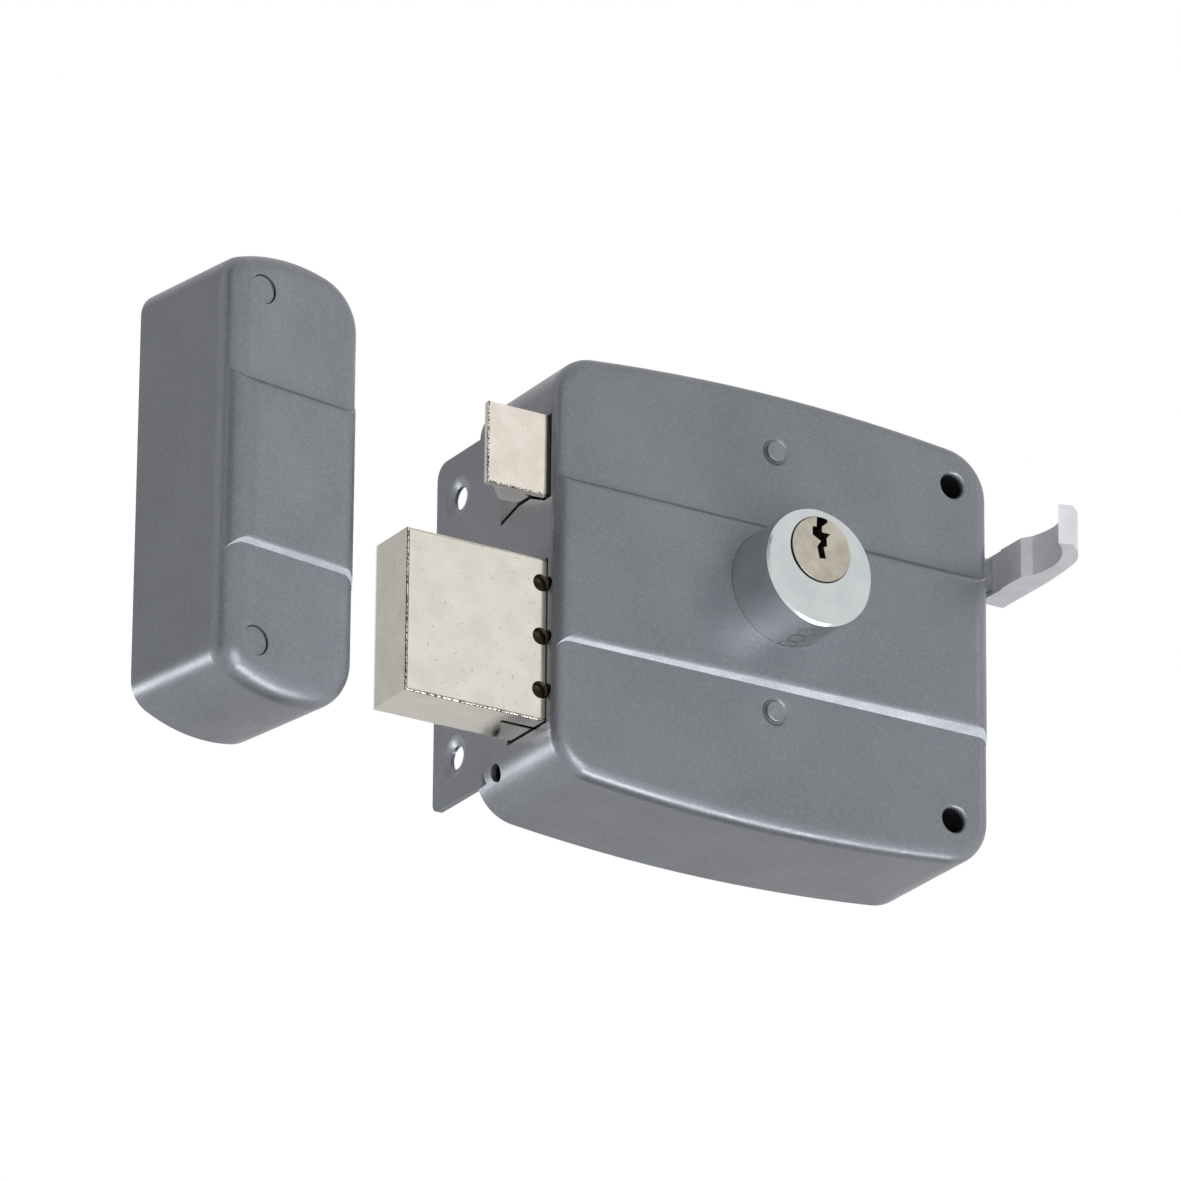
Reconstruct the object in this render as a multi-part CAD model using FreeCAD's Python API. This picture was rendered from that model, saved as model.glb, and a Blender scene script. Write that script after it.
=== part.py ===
"""Surface-mounted rim lock with its strike box, in millimetres.

X runs along the case from the bolts to the pull, -Y faces the room, +Y goes into the door and
+Z is up.  Places are given from the bolt-side wall of the case (X = 0), the door face (Y = 0) and
half the case's height (Z = 0).  Every piece is moved along X when it is written, so that the
origin of the files is the middle of the case's back, on the door face.
"""
import FreeCAD
import Part
import math
import os

Vector = FreeCAD.Vector
X_AXIS = Vector(1, 0, 0)
Y_AXIS = Vector(0, 1, 0)
Z_AXIS = Vector(0, 0, 1)

# Case
case_width = 120.0
case_depth = 36.0
case_half_height = 55.4
case_camber = 3.8
case_sheet = 1.5
case_bolt_side_corner = 11.0
case_pull_side_corner = 12.0
case_edge_round = 3.5

# Raised middle band of the front, which grows towards the pull side
band_half_height = 20.35
band_rise_bolt_side = 1.25
band_rise_pull_side = 2.35
band_slope = 0.9
band_crest_round = 1.6
band_end_inset = 0.3

# Edge flange with its two dimpled screw holes
flange_reach = 19.7
flange_top_inset = 13.2
flange_low_inset = 9.5
flange_top_corner = 4.0
flange_low_corner = 2.4
flange_root = 3.0
edge_hole_radius = 2.9
edge_hole_from_flange_end = 11.2
edge_hole_from_door_face = 10.1
dimple_radius = 5.3
dimple_depth = 0.9
dimple_rise = 0.3
dimple_bend = 0.33
side_hole_radius = 2.1
side_hole_from_door_face = 8.4
side_hole_from_low_end = 10.8

# Screw holes through the front
front_hole_radius = 3.1
front_hole_from_ends = 12.9
front_hole_from_pull_side = 10.6
sleeve_wall = 1.4
hole_rim = 0.6

# Posts that hold front and back together
post_radius = 3.0
post_head_radius = 2.55
post_head_rise = 0.6
post_head_round = 0.35
post_spigot_radius = 2.0
post_x = 59.6
upper_post_from_top = 15.6
lower_post_z = -26.0
post_dimple_radius = 3.9
post_dimple_floor = 2.9
post_dimple_depth = 0.4
pillar_radius = 3.0
upper_pillar_x = 14.0
upper_pillar_from_top = 9.4
lower_pillar_x = 64.0
lower_pillar_from_low_end = 6.7

# Lock cylinder
cylinder_radius = 14.5
cylinder_x = 61.0
cylinder_z = 4.8
cylinder_reach = 17.3
cylinder_inside = 10.0
cylinder_edge = 0.55
plug_radius = 8.1
plug_rise = 4.3
plug_proud = 0.5
plug_edge = 0.3
plug_fit = 0.05
keyway_depth = 24.0
hub_radius = 5.0
tang_half_width = 3.0
tang_radius = 4.0

# Pin chambers of the cylinder
chamber_count = 5
chamber_pitch = 4.3
chamber_first_from_face = 6.0
chamber_radius = 1.5
pin_clearance = 0.08
pin_gap = 0.3
driver_length = 3.6
key_pin_length = 5.0
key_pin_step = 0.5
chamber_plug_radius = 1.9
chamber_plug_length = 2.0
chamber_plug_fit = 0.02
chamber_rim_radius = 2.1
chamber_rim_depth = 0.4
pin_spring_wire = 0.3
pin_spring_turns = 6

# Cam that drives the deadbolt
cam_reach = 11.0
cam_hub_radius = 6.5
cam_nose_width = 3.0
cam_fit = 0.02
circlip_mouth_half = 2.4
circlip_thickness = 1.0
circlip_radius = 5.6
circlip_gap = 0.1

# Bracket that clamps the cylinder
bracket_sheet = 1.8
bracket_half_width = 18.0
bracket_half_height = 6.5
bracket_foot = 6.0
cylinder_screw_radius = 1.5
cylinder_screw_head = 3.0
cylinder_screw_offset = 10.5
cylinder_screw_length = 9.0
running_gap = 0.5

# Deadbolt
deadbolt_throw = 37.4
deadbolt_travel = 37.0
deadbolt_inside = 5.0
deadbolt_thickness = 16.7
deadbolt_height = 40.3
deadbolt_top = 0.8
deadbolt_behind_front = 4.7
deadbolt_jacket_sheet = 1.2
deadbolt_end_round = 3.0
deadbolt_side_round = 2.2
deadbolt_edge = 0.35
jacket_fit = 0.02
window_gap = 0.4
notch_radius = 2.1
notch_from_wall = 1.6
notch_pitch = 13.3
notch_count = 3
notch_lift = 0.7
notch_depth = 1.9
slit_width = 1.3
slit_length = 8.8
slit_behind_front = 5.2
seam_width = 0.22
seam_depth = 0.4
seam_inset = 0.35
hard_pin_radius = 2.5
hard_pin_end_gap = 1.0

# Tail plate of the deadbolt
tail_sheet = 3.0
tail_top = 0.5
tail_bottom = -34.0
tail_end = 70.0
tail_tongue = 12.0
tail_tongue_inset = 9.0
tail_slot_gap = 0.3
tooth_notch_width = 12.8
tooth_notch_depth = 2.7
plug_turns = 2.0
tail_rivet_radius = 2.0
tail_rivet_spacing = 12.0
tail_rivet_from_end = 4.0

# Leaf spring that holds the deadbolt in its two places
leaf_sheet = 0.8
leaf_width = 6.0
leaf_nose_x = 50.0
leaf_nose_radius = 1.5
leaf_length = 40.0
leaf_drop = 3.3
leaf_gap = 0.3
leaf_notch_radius = 2.0
leaf_block_width = 8.0
leaf_block_height = 6.0
leaf_screw_radius = 1.5
leaf_screw_head_radius = 2.8
leaf_screw_head_height = 1.2

# Guide rails of the deadbolt
rail_sheet = 2.0
rail_gap = 0.4
rail_start = 3.0
rail_end = 40.0
rail_front_gap = 2.3

# Spring latch
latch_throw = 16.5
latch_inside = 6.0
latch_behind_front = 4.4
latch_depth = 21.2
latch_bottom = 16.65
latch_height = 20.25
latch_tip = 1.5
latch_hollow = 0.8
latch_groove_start = 1.8
latch_groove_flat_start = 8.0
latch_groove_flat_end = 13.2
latch_groove_height = 2.6
latch_groove_end_height = 0.5
latch_edge = 0.3
latch_window_front_gap = 1.1
latch_window_low_gap = 0.5

# Bar that joins the latch to the pull
bar_level = 26.55
bar_sheet = 2.5
bar_height = 8.0
bar_front = -26.5
bar_tongue = 8.0
bar_slot_gap = 0.5
bar_rivet_radius = 1.5
bar_rivet_spacing = 4.4
bar_rivet_from_end = 4.0

# Latch spring and its bracket
spring_radius = 3.2
spring_wire = 0.9
spring_turns = 10
spring_gap = 0.3
spring_axis_y = -18.0
guide_sheet = 2.0
guide_x = 40.0
guide_half_height = 7.0
guide_foot = 12.0
guide_front = -30.0
guide_screw_radius = 1.5
spring_rod_radius = 1.6
spring_rod_length = 17.5

# Finger pull
pull_height = 10.0
pull_from_case = 6.9
pull_thickness = 6.8
pull_rear = -20.6
pull_straight = 13.3
pull_back_bow = 25.5
pull_back_bow_in = 0.45
pull_curve = 33.6
pull_curve_in = 1.5
pull_tip_bow = 38.0
pull_tip_bow_in = 3.85
pull_reach = 42.1
pull_tip_in = 9.2
pull_tip_half = 1.1
pull_lip_bow = 35.7
pull_lip_bow_in = 6.8
pull_nose = 18.7
pull_nose_out = 0.4
pull_throat = 21.3
pull_throat_in = 5.6
pull_hollow = 28.9
pull_hollow_in = 4.6
pull_hollow_bow_in = 4.75
pull_shoulder = 10.1
pull_slot_end_gap = 0.5
pull_pin_radius = 1.25
pull_pin_offset = 3.2
pull_pin_depth = 9.3

# Back plate
back_sheet = 1.5
back_gap = 0.15
back_hole_radius = 7.0
back_screw_radius = 2.0
back_screw_head = 3.6
back_screw_length = 10.0
back_screw_slot_width = 0.8
back_screw_slot_depth = 0.7

# Strike box, which stands apart beside the bolts and a little turned, as in the photograph
strike_width = 39.0
strike_depth = 34.0
strike_half_height = 54.2
strike_camber = 4.8
strike_outer_corner = 7.0
strike_bolt_corner = 13.0
strike_edge_round = 5.5
strike_band_rise = 1.6
strike_hole_from_ends = 11.1
strike_hole_from_outer_side = 9.0
strike_hole_radius = 3.6
strike_post_radius = 3.35
strike_post_below_front = 0.5
strike_thread_radius = 2.1
strike_thread_depth = 20.0
strike_screw_hole = 2.75
strike_window_gap = 1.0
strike_turn = 9.0
strike_corner_x = -94.2
strike_corner_y = -48.3

# Places worked out from the sizes above
case_front = -case_depth
inner_front = case_front + case_sheet
back_inner = -back_sheet
hole_x = case_width - front_hole_from_pull_side
hole_z = case_half_height - front_hole_from_ends
upper_post_z = case_half_height - upper_post_from_top
upper_pillar_z = case_half_height - upper_pillar_from_top
lower_pillar_z = lower_pillar_from_low_end - case_half_height
flange_top = case_half_height - flange_top_inset
flange_bottom = flange_low_inset - case_half_height
side_hole_height = side_hole_from_low_end - case_half_height
plug_z = cylinder_z + plug_rise
cylinder_face = case_front - cylinder_reach
cylinder_rear = case_front + cylinder_inside
bracket_rear = cylinder_rear + bracket_sheet
cam_front = bracket_rear + running_gap
cam_rear = cam_front + tail_sheet
deadbolt_front = case_front + deadbolt_behind_front
deadbolt_rear = deadbolt_front + deadbolt_thickness
deadbolt_bottom = deadbolt_top - deadbolt_height
deadbolt_middle_z = deadbolt_top - deadbolt_height / 2
latch_front = case_front + latch_behind_front
latch_rear = latch_front + latch_depth
latch_top = latch_bottom + latch_height
bar_rear = bar_front + bar_sheet
bar_bottom = bar_level - bar_height / 2
bar_top = bar_level + bar_height / 2
pull_inner = case_width + pull_from_case
pull_outer = pull_inner + pull_thickness
strike_front = -strike_depth
strike_shift = strike_front - case_front


def box(x0, x1, y0, y1, z0, z1):
    """Rectangular block between two corners."""
    return Part.makeBox(x1 - x0, y1 - y0, z1 - z0, Vector(x0, y0, z0))


def rod(radius, start, axis, length):
    """Cylinder from a start point along an axis."""
    return Part.makeCylinder(radius, length, Vector(*start), axis)


def rod_y(radius, x, z, y0, y1):
    """Cylinder along Y between two depths."""
    return rod(radius, (x, y0, z), Y_AXIS, y1 - y0)


def cone_y(radius0, radius1, x, z, y0, y1):
    """Cone along Y with one radius at each depth."""
    return Part.makeCone(radius0, radius1, y1 - y0, Vector(x, y0, z), Y_AXIS)


def face_of(points):
    """Flat face inside a closed run of straight lines."""
    return Part.Face(Part.makePolygon(points + [points[0]]))


def plate_y(outline, y0, y1):
    """Plate with an XZ outline between two depths."""
    points = [Vector(x, y0, z) for x, z in outline]
    return face_of(points).extrude(Vector(0, y1 - y0, 0))


def plate_z(outline, z0, z1):
    """Plate with an XY outline between two heights."""
    points = [Vector(x, y, z0) for x, y in outline]
    return face_of(points).extrude(Vector(0, 0, z1 - z0))


def plate_x(outline, x0, x1):
    """Bar with a YZ outline between two places along X."""
    points = [Vector(x0, y, z) for y, z in outline]
    return face_of(points).extrude(Vector(x1 - x0, 0, 0))


def funnel(mouth, neck, depth, place, axis):
    """Solid of a pressed dimple: it curves in from its mouth to its neck along an axis."""
    middle = Vector(dimple_bend * depth, (mouth + neck) / 2, 0)
    edges = [
        Part.LineSegment(Vector(-1, 0, 0), Vector(-1, mouth, 0)).toShape(),
        Part.LineSegment(Vector(-1, mouth, 0), Vector(0, mouth, 0)).toShape(),
        Part.Arc(Vector(0, mouth, 0), middle, Vector(depth, neck, 0)).toShape(),
        Part.LineSegment(Vector(depth, neck, 0), Vector(depth, 0, 0)).toShape(),
        Part.LineSegment(Vector(depth, 0, 0), Vector(-1, 0, 0)).toShape(),
    ]
    solid = Part.Face(Part.Wire(edges)).revolve(Vector(0, 0, 0), X_AXIS, 360)
    solid.Placement = FreeCAD.Placement(Vector(*place), FreeCAD.Rotation(X_AXIS, axis))
    return solid


def joined(shapes):
    """One shape from several that touch or overlap."""
    result = shapes[0]
    for shape in shapes[1:]:
        result = result.fuse(shape)
    return result.removeSplitter()


def slotted_y(x0, x1, z, radius, y0, y1):
    """Round-ended slot along X, cut along Y."""
    middle = box(x0, x1, y0, y1, z - radius, z + radius)
    return joined([middle, rod_y(radius, x0, z, y0, y1), rod_y(radius, x1, z, y0, y1)])


def edges_along(shape, axis, test):
    """Straight edges parallel to an axis whose middle passes a test."""
    found = []
    for edge in shape.Edges:
        start = edge.Vertexes[0].Point
        end = edge.Vertexes[-1].Point
        span = end.sub(start)
        if span.Length < 1e-6 or abs(abs(span.dot(axis)) - edge.Length) > 1e-6:
            continue
        if test((start + end) * 0.5):
            found.append(edge)
    return found


def coil(radius, wire, turns, start, axis, length):
    """Compression spring of round wire, as one tube along an axis."""
    pitch = (length - wire) / turns
    helix = Part.makeHelix(pitch, pitch * turns, radius)
    ring = Part.Wire(Part.makeCircle(wire / 2, Vector(radius, 0, 0), Y_AXIS))
    tube = Part.Wire(helix).makePipeShell([ring], True, True)
    placed = FreeCAD.Placement(
        Vector(*start) + axis * (wire / 2), FreeCAD.Rotation(Z_AXIS, axis)
    )
    tube.Placement = placed
    return tube


def pressed_box(x0, x1, front, rear, half_height, camber, low_x_corner, high_x_corner, edge_round):
    """Solid of a deep-drawn box: cambered ends, round corners and a rounded front edge."""
    end_height = half_height - camber
    middle = (x0 + x1) / 2
    low = [Vector(x0, rear, -end_height), Vector(middle, rear, -half_height), Vector(x1, rear, -end_height)]
    high = [Vector(x1, rear, end_height), Vector(middle, rear, half_height), Vector(x0, rear, end_height)]
    outline = Part.Wire([
        Part.Arc(*low).toShape(),
        Part.LineSegment(low[2], high[0]).toShape(),
        Part.Arc(*high).toShape(),
        Part.LineSegment(high[2], low[0]).toShape(),
    ])
    solid = Part.Face(outline).extrude(Vector(0, front - rear, 0))
    low_x_edges = edges_along(solid, Y_AXIS, lambda p: abs(p.x - x0) < 1e-3)
    solid = solid.makeFillet(low_x_corner, low_x_edges)
    high_x_edges = edges_along(solid, Y_AXIS, lambda p: abs(p.x - x1) < 1e-3)
    solid = solid.makeFillet(high_x_corner, high_x_edges)
    if edge_round > 0:
        front_edges = [e for e in solid.Edges if all(abs(v.Point.y - front) < 1e-3 for v in e.Vertexes)]
        solid = solid.makeFillet(edge_round, front_edges)
    return solid


def raised_band(x0, x1, front, rises, edge_round):
    """Block of the raised band: sloping sides, a rounded crest and ends that roll off like the walls."""
    base = front + edge_round
    deep = band_half_height + band_slope * edge_round
    sections = []
    for x, rise in zip((x0, x1), rises):
        high = band_half_height - band_slope * rise
        corners = [(base, -deep), (front - rise, -high), (front - rise, high), (base, deep)]
        points = [Vector(x, y, z) for y, z in corners]
        sections.append(Part.makePolygon(points + [points[0]]))
    block = Part.makeLoft(sections, True, True)
    crests = [e for e in block.Edges if e.BoundBox.XLength > (x1 - x0) / 2 and e.BoundBox.YMax < front]
    block = block.makeFillet(band_crest_round, crests)
    low_rise, high_rise = rises
    start = x0 + band_end_inset
    end = x1 - band_end_inset
    lean = (high_rise - low_rise) / (x1 - x0) * band_end_inset
    plan = plate_z(
        [(start, base), (start, front - low_rise - lean), (end, front - high_rise + lean), (end, base)],
        -deep - 1, deep + 1,
    )
    low_corner = edges_along(plan, Z_AXIS, lambda p: p.y < front and abs(p.x - start) < 1e-3)
    plan = plan.makeFillet(edge_round + low_rise - band_end_inset, low_corner)
    high_corner = edges_along(plan, Z_AXIS, lambda p: p.y < front and abs(p.x - end) < 1e-3)
    plan = plan.makeFillet(edge_round + high_rise - band_end_inset, high_corner)
    return block.common(plan)


def drawn_shell(width, depth, half_height, camber, corners, edge_round, rises):
    """Sheet-metal box, open at the rear, with the raised band pressed into it."""
    low, high = corners
    sheet = case_sheet
    outer = pressed_box(0, width, -depth, 0, half_height, camber, low, high, edge_round)
    band = raised_band(0, width, -depth, rises, edge_round)
    inner = pressed_box(
        sheet, width - sheet, sheet - depth, sheet, half_height - sheet, camber,
        low - sheet, high - sheet, edge_round - sheet,
    )
    inner_band = raised_band(sheet, width - sheet, sheet - depth, rises, edge_round - sheet)
    return outer.fuse(band).cut(inner).cut(inner_band)


def post_places():
    """X and Z of the two posts with heads on the front."""
    return [(post_x, upper_post_z), (post_x, lower_post_z)]


def pillar_places():
    """X and Z of the two blind pillars: over the latch and below the leaf spring."""
    return [(upper_pillar_x, upper_pillar_z), (lower_pillar_x, lower_pillar_z)]


def front_hole_places():
    """X and Z of the two screw holes through the front."""
    return [(hole_x, hole_z), (hole_x, -hole_z)]


def edge_hole_heights():
    """Heights of the two screw holes in the edge flange."""
    return [flange_top - edge_hole_from_flange_end, flange_bottom + edge_hole_from_flange_end]


def notch_heights():
    """Heights of the round notches where the deadbolt meets the case."""
    middle = (notch_count - 1) / 2
    return [deadbolt_middle_z + notch_lift + notch_pitch * (middle - i) for i in range(notch_count)]


def deadbolt_window(x0, x1, gap):
    """Opening that the deadbolt slides through."""
    return box(x0, x1, deadbolt_front - gap, deadbolt_rear + gap, deadbolt_bottom - gap, deadbolt_top + gap)


def edge_flange():
    """Edge flange: the bolt-side wall carried on past the door face."""
    plate = box(0, case_sheet, -flange_root, flange_reach, flange_bottom, flange_top)
    high = edges_along(plate, X_AXIS, lambda p: abs(p.y - flange_reach) < 1e-3 and p.z > 0)
    plate = plate.makeFillet(flange_top_corner, high)
    low = edges_along(plate, X_AXIS, lambda p: abs(p.y - flange_reach) < 1e-3 and p.z < 0)
    plate = plate.makeFillet(flange_low_corner, low)
    for z in edge_hole_heights():
        boss = Part.makeCone(
            dimple_radius, edge_hole_radius + case_sheet, dimple_rise,
            Vector(case_sheet, edge_hole_from_door_face, z), X_AXIS,
        )
        plate = plate.fuse(boss)
    for z in edge_hole_heights():
        place = (0, edge_hole_from_door_face, z)
        dimple = funnel(dimple_radius, edge_hole_radius, dimple_depth, place, X_AXIS)
        hole = rod(edge_hole_radius, place, X_AXIS, 2 * case_sheet + dimple_rise)
        plate = plate.cut(dimple).cut(hole)
    return plate


def latch_underside(drop):
    """YZ points along the latch's grooved underside from front to rear, lowered by a drop."""
    steps = [
        (0, 0), (latch_groove_start, 0), (latch_groove_flat_start, latch_groove_height),
        (latch_groove_flat_end, latch_groove_height), (latch_depth, latch_groove_end_height),
    ]
    return [(latch_front + back, latch_bottom + lift - drop) for back, lift in steps]


def latch_window(x0, x1):
    """Opening that the latch slides through; its lower edge follows the latch's underside."""
    front = latch_front - latch_window_front_gap
    rear = latch_rear + window_gap
    lower = latch_underside(latch_window_low_gap)
    outline = [(front, lower[0][1])] + lower[1:] + [(rear, lower[-1][1])]
    outline += [(rear, latch_top + window_gap), (front, latch_top + window_gap)]
    return plate_x(outline, x0, x1)


def make_case():
    """Drawn case: front, four walls, raised band, windows, holes and the edge flange."""
    case = drawn_shell(
        case_width, case_depth, case_half_height, case_camber,
        (case_bolt_side_corner, case_pull_side_corner), case_edge_round,
        (band_rise_bolt_side, band_rise_pull_side),
    )
    case = case.fuse(edge_flange())
    wall_inside = case_sheet + case_edge_round
    case = case.cut(deadbolt_window(-1, wall_inside, window_gap))
    for z in notch_heights():
        case = case.cut(
            rod(notch_radius - window_gap, (-1, deadbolt_front - window_gap, z), X_AXIS, 1 + wall_inside)
        )
    case = case.cut(latch_window(-1, wall_inside))
    case = case.cut(box(
        case_width - wall_inside, case_width + 1, bar_front - bar_slot_gap, bar_rear + bar_slot_gap,
        bar_bottom - bar_slot_gap, bar_top + bar_slot_gap,
    ))
    side_hole_y = -side_hole_from_door_face
    case = case.cut(rod(side_hole_radius, (-1, side_hole_y, side_hole_height), X_AXIS, 1 + wall_inside))
    case = case.cut(
        rod_y(cylinder_radius + plug_fit, cylinder_x, cylinder_z, case_front - 3, inner_front + 1)
    )
    for x, z in front_hole_places():
        case = case.cut(rod_y(front_hole_radius, x, z, case_front - 3, inner_front + 1))
        case = case.cut(
            funnel(front_hole_radius + hole_rim, front_hole_radius, hole_rim, (x, case_front, z), Y_AXIS)
        )
    for x, z in post_places():
        case = case.cut(rod_y(post_spigot_radius + plug_fit, x, z, case_front - 1, inner_front + 1))
        case = case.cut(
            funnel(post_dimple_radius, post_dimple_floor, post_dimple_depth, (x, case_front, z), Y_AXIS)
        )
    return case


def make_back_plate():
    """Plate that closes the case on the door side."""
    inset = case_sheet + back_gap
    plate = pressed_box(
        inset, case_width - inset, back_inner, 0, case_half_height - inset, case_camber,
        case_bolt_side_corner - case_sheet, case_pull_side_corner - case_sheet, 0,
    )
    plate = plate.cut(rod_y(back_hole_radius, cylinder_x, plug_z, back_inner - 1, 1))
    for x, z in front_hole_places():
        plate = plate.cut(rod_y(front_hole_radius, x, z, back_inner - 1, 1))
    for x, z in post_places() + pillar_places():
        plate = plate.cut(rod_y(back_screw_radius + plug_fit, x, z, back_inner - 1, 1))
        plate = plate.cut(cone_y(back_screw_radius, back_screw_head + plug_fit, x, z, back_inner, 0))
    return plate


def make_rivet_posts():
    """Two posts from front to back; their heads show on the front."""
    posts = []
    for x, z in post_places():
        shank = rod_y(post_radius, x, z, inner_front, back_inner)
        spigot = rod_y(post_spigot_radius, x, z, case_front + post_dimple_depth, inner_front)
        head = rod_y(post_head_radius, x, z, case_front - post_head_rise, case_front + post_dimple_depth)
        head = head.makeFillet(post_head_round, [e for e in head.Edges if e.BoundBox.YMax < case_front])
        post = joined([shank, spigot, head])
        posts.append(post.cut(rod_y(back_screw_radius, x, z, back_inner - back_screw_length, back_inner)))
    return posts


def make_corner_pillars():
    """Two blind pillars welded behind the front, for the back plate's screws."""
    pillars = []
    for x, z in pillar_places():
        pillar = rod_y(pillar_radius, x, z, inner_front, back_inner)
        pillars.append(pillar.cut(rod_y(back_screw_radius, x, z, back_inner - back_screw_length, back_inner)))
    return pillars


def make_back_screws():
    """Four countersunk screws that hold the back plate."""
    screws = []
    for x, z in post_places() + pillar_places():
        head = cone_y(back_screw_radius, back_screw_head, x, z, back_inner, 0)
        shank = rod_y(back_screw_radius - plug_fit, x, z, back_inner - back_screw_length + 1, back_inner)
        half_slot = back_screw_slot_width / 2
        slot = box(
            x - back_screw_head, x + back_screw_head, -back_screw_slot_depth, 1, z - half_slot, z + half_slot,
        )
        screws.append(joined([head, shank]).cut(slot))
    return screws


def make_screw_sleeves():
    """Two sleeves that guide the long fixing screws from front to back."""
    sleeves = []
    for x, z in front_hole_places():
        tube = rod_y(front_hole_radius + sleeve_wall, x, z, inner_front, back_inner)
        sleeves.append(tube.cut(rod_y(front_hole_radius, x, z, inner_front - 1, back_inner + 1)))
    return sleeves


def chamber_depths():
    """Y of the pin chambers, from the face inwards."""
    first = cylinder_face + chamber_first_from_face
    return [first + i * chamber_pitch for i in range(chamber_count)]


def shear_z():
    """Lowest height of the plug at the side of a pin."""
    return plug_z - math.sqrt(plug_radius ** 2 - chamber_radius ** 2)


def chamber_plug_top():
    """Height of the inner end of the chamber plugs."""
    return cylinder_z - cylinder_radius + chamber_plug_length


def make_cylinder_body():
    """Round cylinder body with the offset plug bore and the pin chambers."""
    body = rod_y(cylinder_radius, cylinder_x, cylinder_z, cylinder_face, cylinder_rear)
    body = body.makeChamfer(
        cylinder_edge, [e for e in body.Edges if e.BoundBox.YMax < cylinder_face + 1e-3]
    )
    body = body.cut(
        rod_y(plug_radius + plug_fit, cylinder_x, plug_z, cylinder_face - 1, cylinder_rear + 1)
    )
    bottom = cylinder_z - cylinder_radius
    for y in chamber_depths():
        body = body.cut(rod(chamber_radius, (cylinder_x, y, bottom), Z_AXIS, plug_z - bottom))
        seat = rod(
            chamber_plug_radius + chamber_plug_fit, (cylinder_x, y, bottom - 1), Z_AXIS, 1 + chamber_plug_length
        )
        rim = rod(chamber_rim_radius, (cylinder_x, y, bottom - 1), Z_AXIS, 1 + chamber_rim_depth)
        body = body.cut(seat).cut(rim)
    for side in (-1, 1):
        x = cylinder_x + side * cylinder_screw_offset
        body = body.cut(
            rod_y(cylinder_screw_radius, x, cylinder_z, cylinder_rear - cylinder_screw_length, cylinder_rear)
        )
    return body


def keyway_outline():
    """Zig-zag keyway, as offsets from the plug's axis."""
    return [
        (-1.3, 9.0), (1.5, 9.0), (1.6, 7.0), (0.1, 5.8), (0.1, 4.3), (2.4, 4.3), (1.4, 3.1), (1.5, 1.0),
        (0.6, 0.6), (1.2, -2.2), (-0.6, -2.4), (-1.2, 0.5), (-0.2, 2.0), (-2.5, 3.2), (-2.5, 5.3), (-1.4, 5.4),
    ]


def make_plug():
    """Turning plug with its keyway, pin bores, hub and tang."""
    plug_face = cylinder_face - plug_proud
    plug = rod_y(plug_radius, cylinder_x, plug_z, plug_face, cylinder_rear - pin_gap)
    plug = plug.makeFillet(plug_edge, [e for e in plug.Edges if e.BoundBox.YMax < plug_face + 1e-3])
    hub = rod_y(hub_radius, cylinder_x, plug_z, cylinder_rear - pin_gap, cam_front)
    tang_end = cam_rear + circlip_gap + 2 * circlip_thickness
    tang = rod_y(tang_radius, cylinder_x, plug_z, cam_front, tang_end)
    flat = box(
        cylinder_x - tang_half_width, cylinder_x + tang_half_width, cam_front, tang_end,
        plug_z - tang_radius, plug_z + tang_radius,
    )
    plug = joined([plug, hub, tang.common(flat)])
    keyway = [(cylinder_x + u, plug_z + v) for u, v in keyway_outline()]
    plug = plug.cut(plate_y(keyway, plug_face - 1, cylinder_face + keyway_depth))
    for y in chamber_depths():
        plug = plug.cut(
            rod(chamber_radius, (cylinder_x, y, plug_z - plug_radius - 1), Z_AXIS, plug_radius)
        )
    groove_front = cam_rear + circlip_gap
    groove = rod_y(tang_radius + 1, cylinder_x, plug_z, groove_front, groove_front + circlip_thickness)
    core = rod_y(tang_half_width, cylinder_x, plug_z, groove_front, groove_front + circlip_thickness)
    return plug.cut(groove.cut(core))


def make_chamber_plugs():
    """Press-fitted plugs that close the pin chambers on the underside."""
    bottom = cylinder_z - cylinder_radius + chamber_plug_fit
    body = rod_y(cylinder_radius, cylinder_x, cylinder_z, cylinder_face, cylinder_rear)
    plugs = []
    for y in chamber_depths():
        slug = rod(
            chamber_plug_radius, (cylinder_x, y, bottom), Z_AXIS, chamber_plug_length - chamber_plug_fit
        )
        plugs.append(slug.common(body))
    return plugs


def driver_bottom():
    """Height of the driver pins' lower ends."""
    return shear_z() - pin_gap - driver_length


def make_driver_pins():
    """Driver pins, all in the body, just below the plug."""
    radius = chamber_radius - pin_clearance
    return [rod(radius, (cylinder_x, y, driver_bottom()), Z_AXIS, driver_length) for y in chamber_depths()]


def make_pin_springs():
    """Springs between the chamber plugs and the driver pins."""
    radius = chamber_radius - pin_clearance - pin_spring_wire
    length = driver_bottom() - chamber_plug_top()
    return [
        coil(radius, pin_spring_wire, pin_spring_turns, (cylinder_x, y, chamber_plug_top()), Z_AXIS, length)
        for y in chamber_depths()
    ]


def make_key_pins():
    """Key pins, all inside the plug, with coned tips in the keyway."""
    radius = chamber_radius - pin_clearance
    base = shear_z() + pin_clearance
    pins = []
    for i, y in enumerate(chamber_depths()):
        length = key_pin_length - key_pin_step * (i % 3)
        shank = rod(radius, (cylinder_x, y, base), Z_AXIS, length - radius / 2)
        tip = Part.makeCone(
            radius, radius / 2, radius / 2, Vector(cylinder_x, y, base + length - radius / 2), Z_AXIS
        )
        pins.append(joined([shank, tip]))
    return pins


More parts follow.
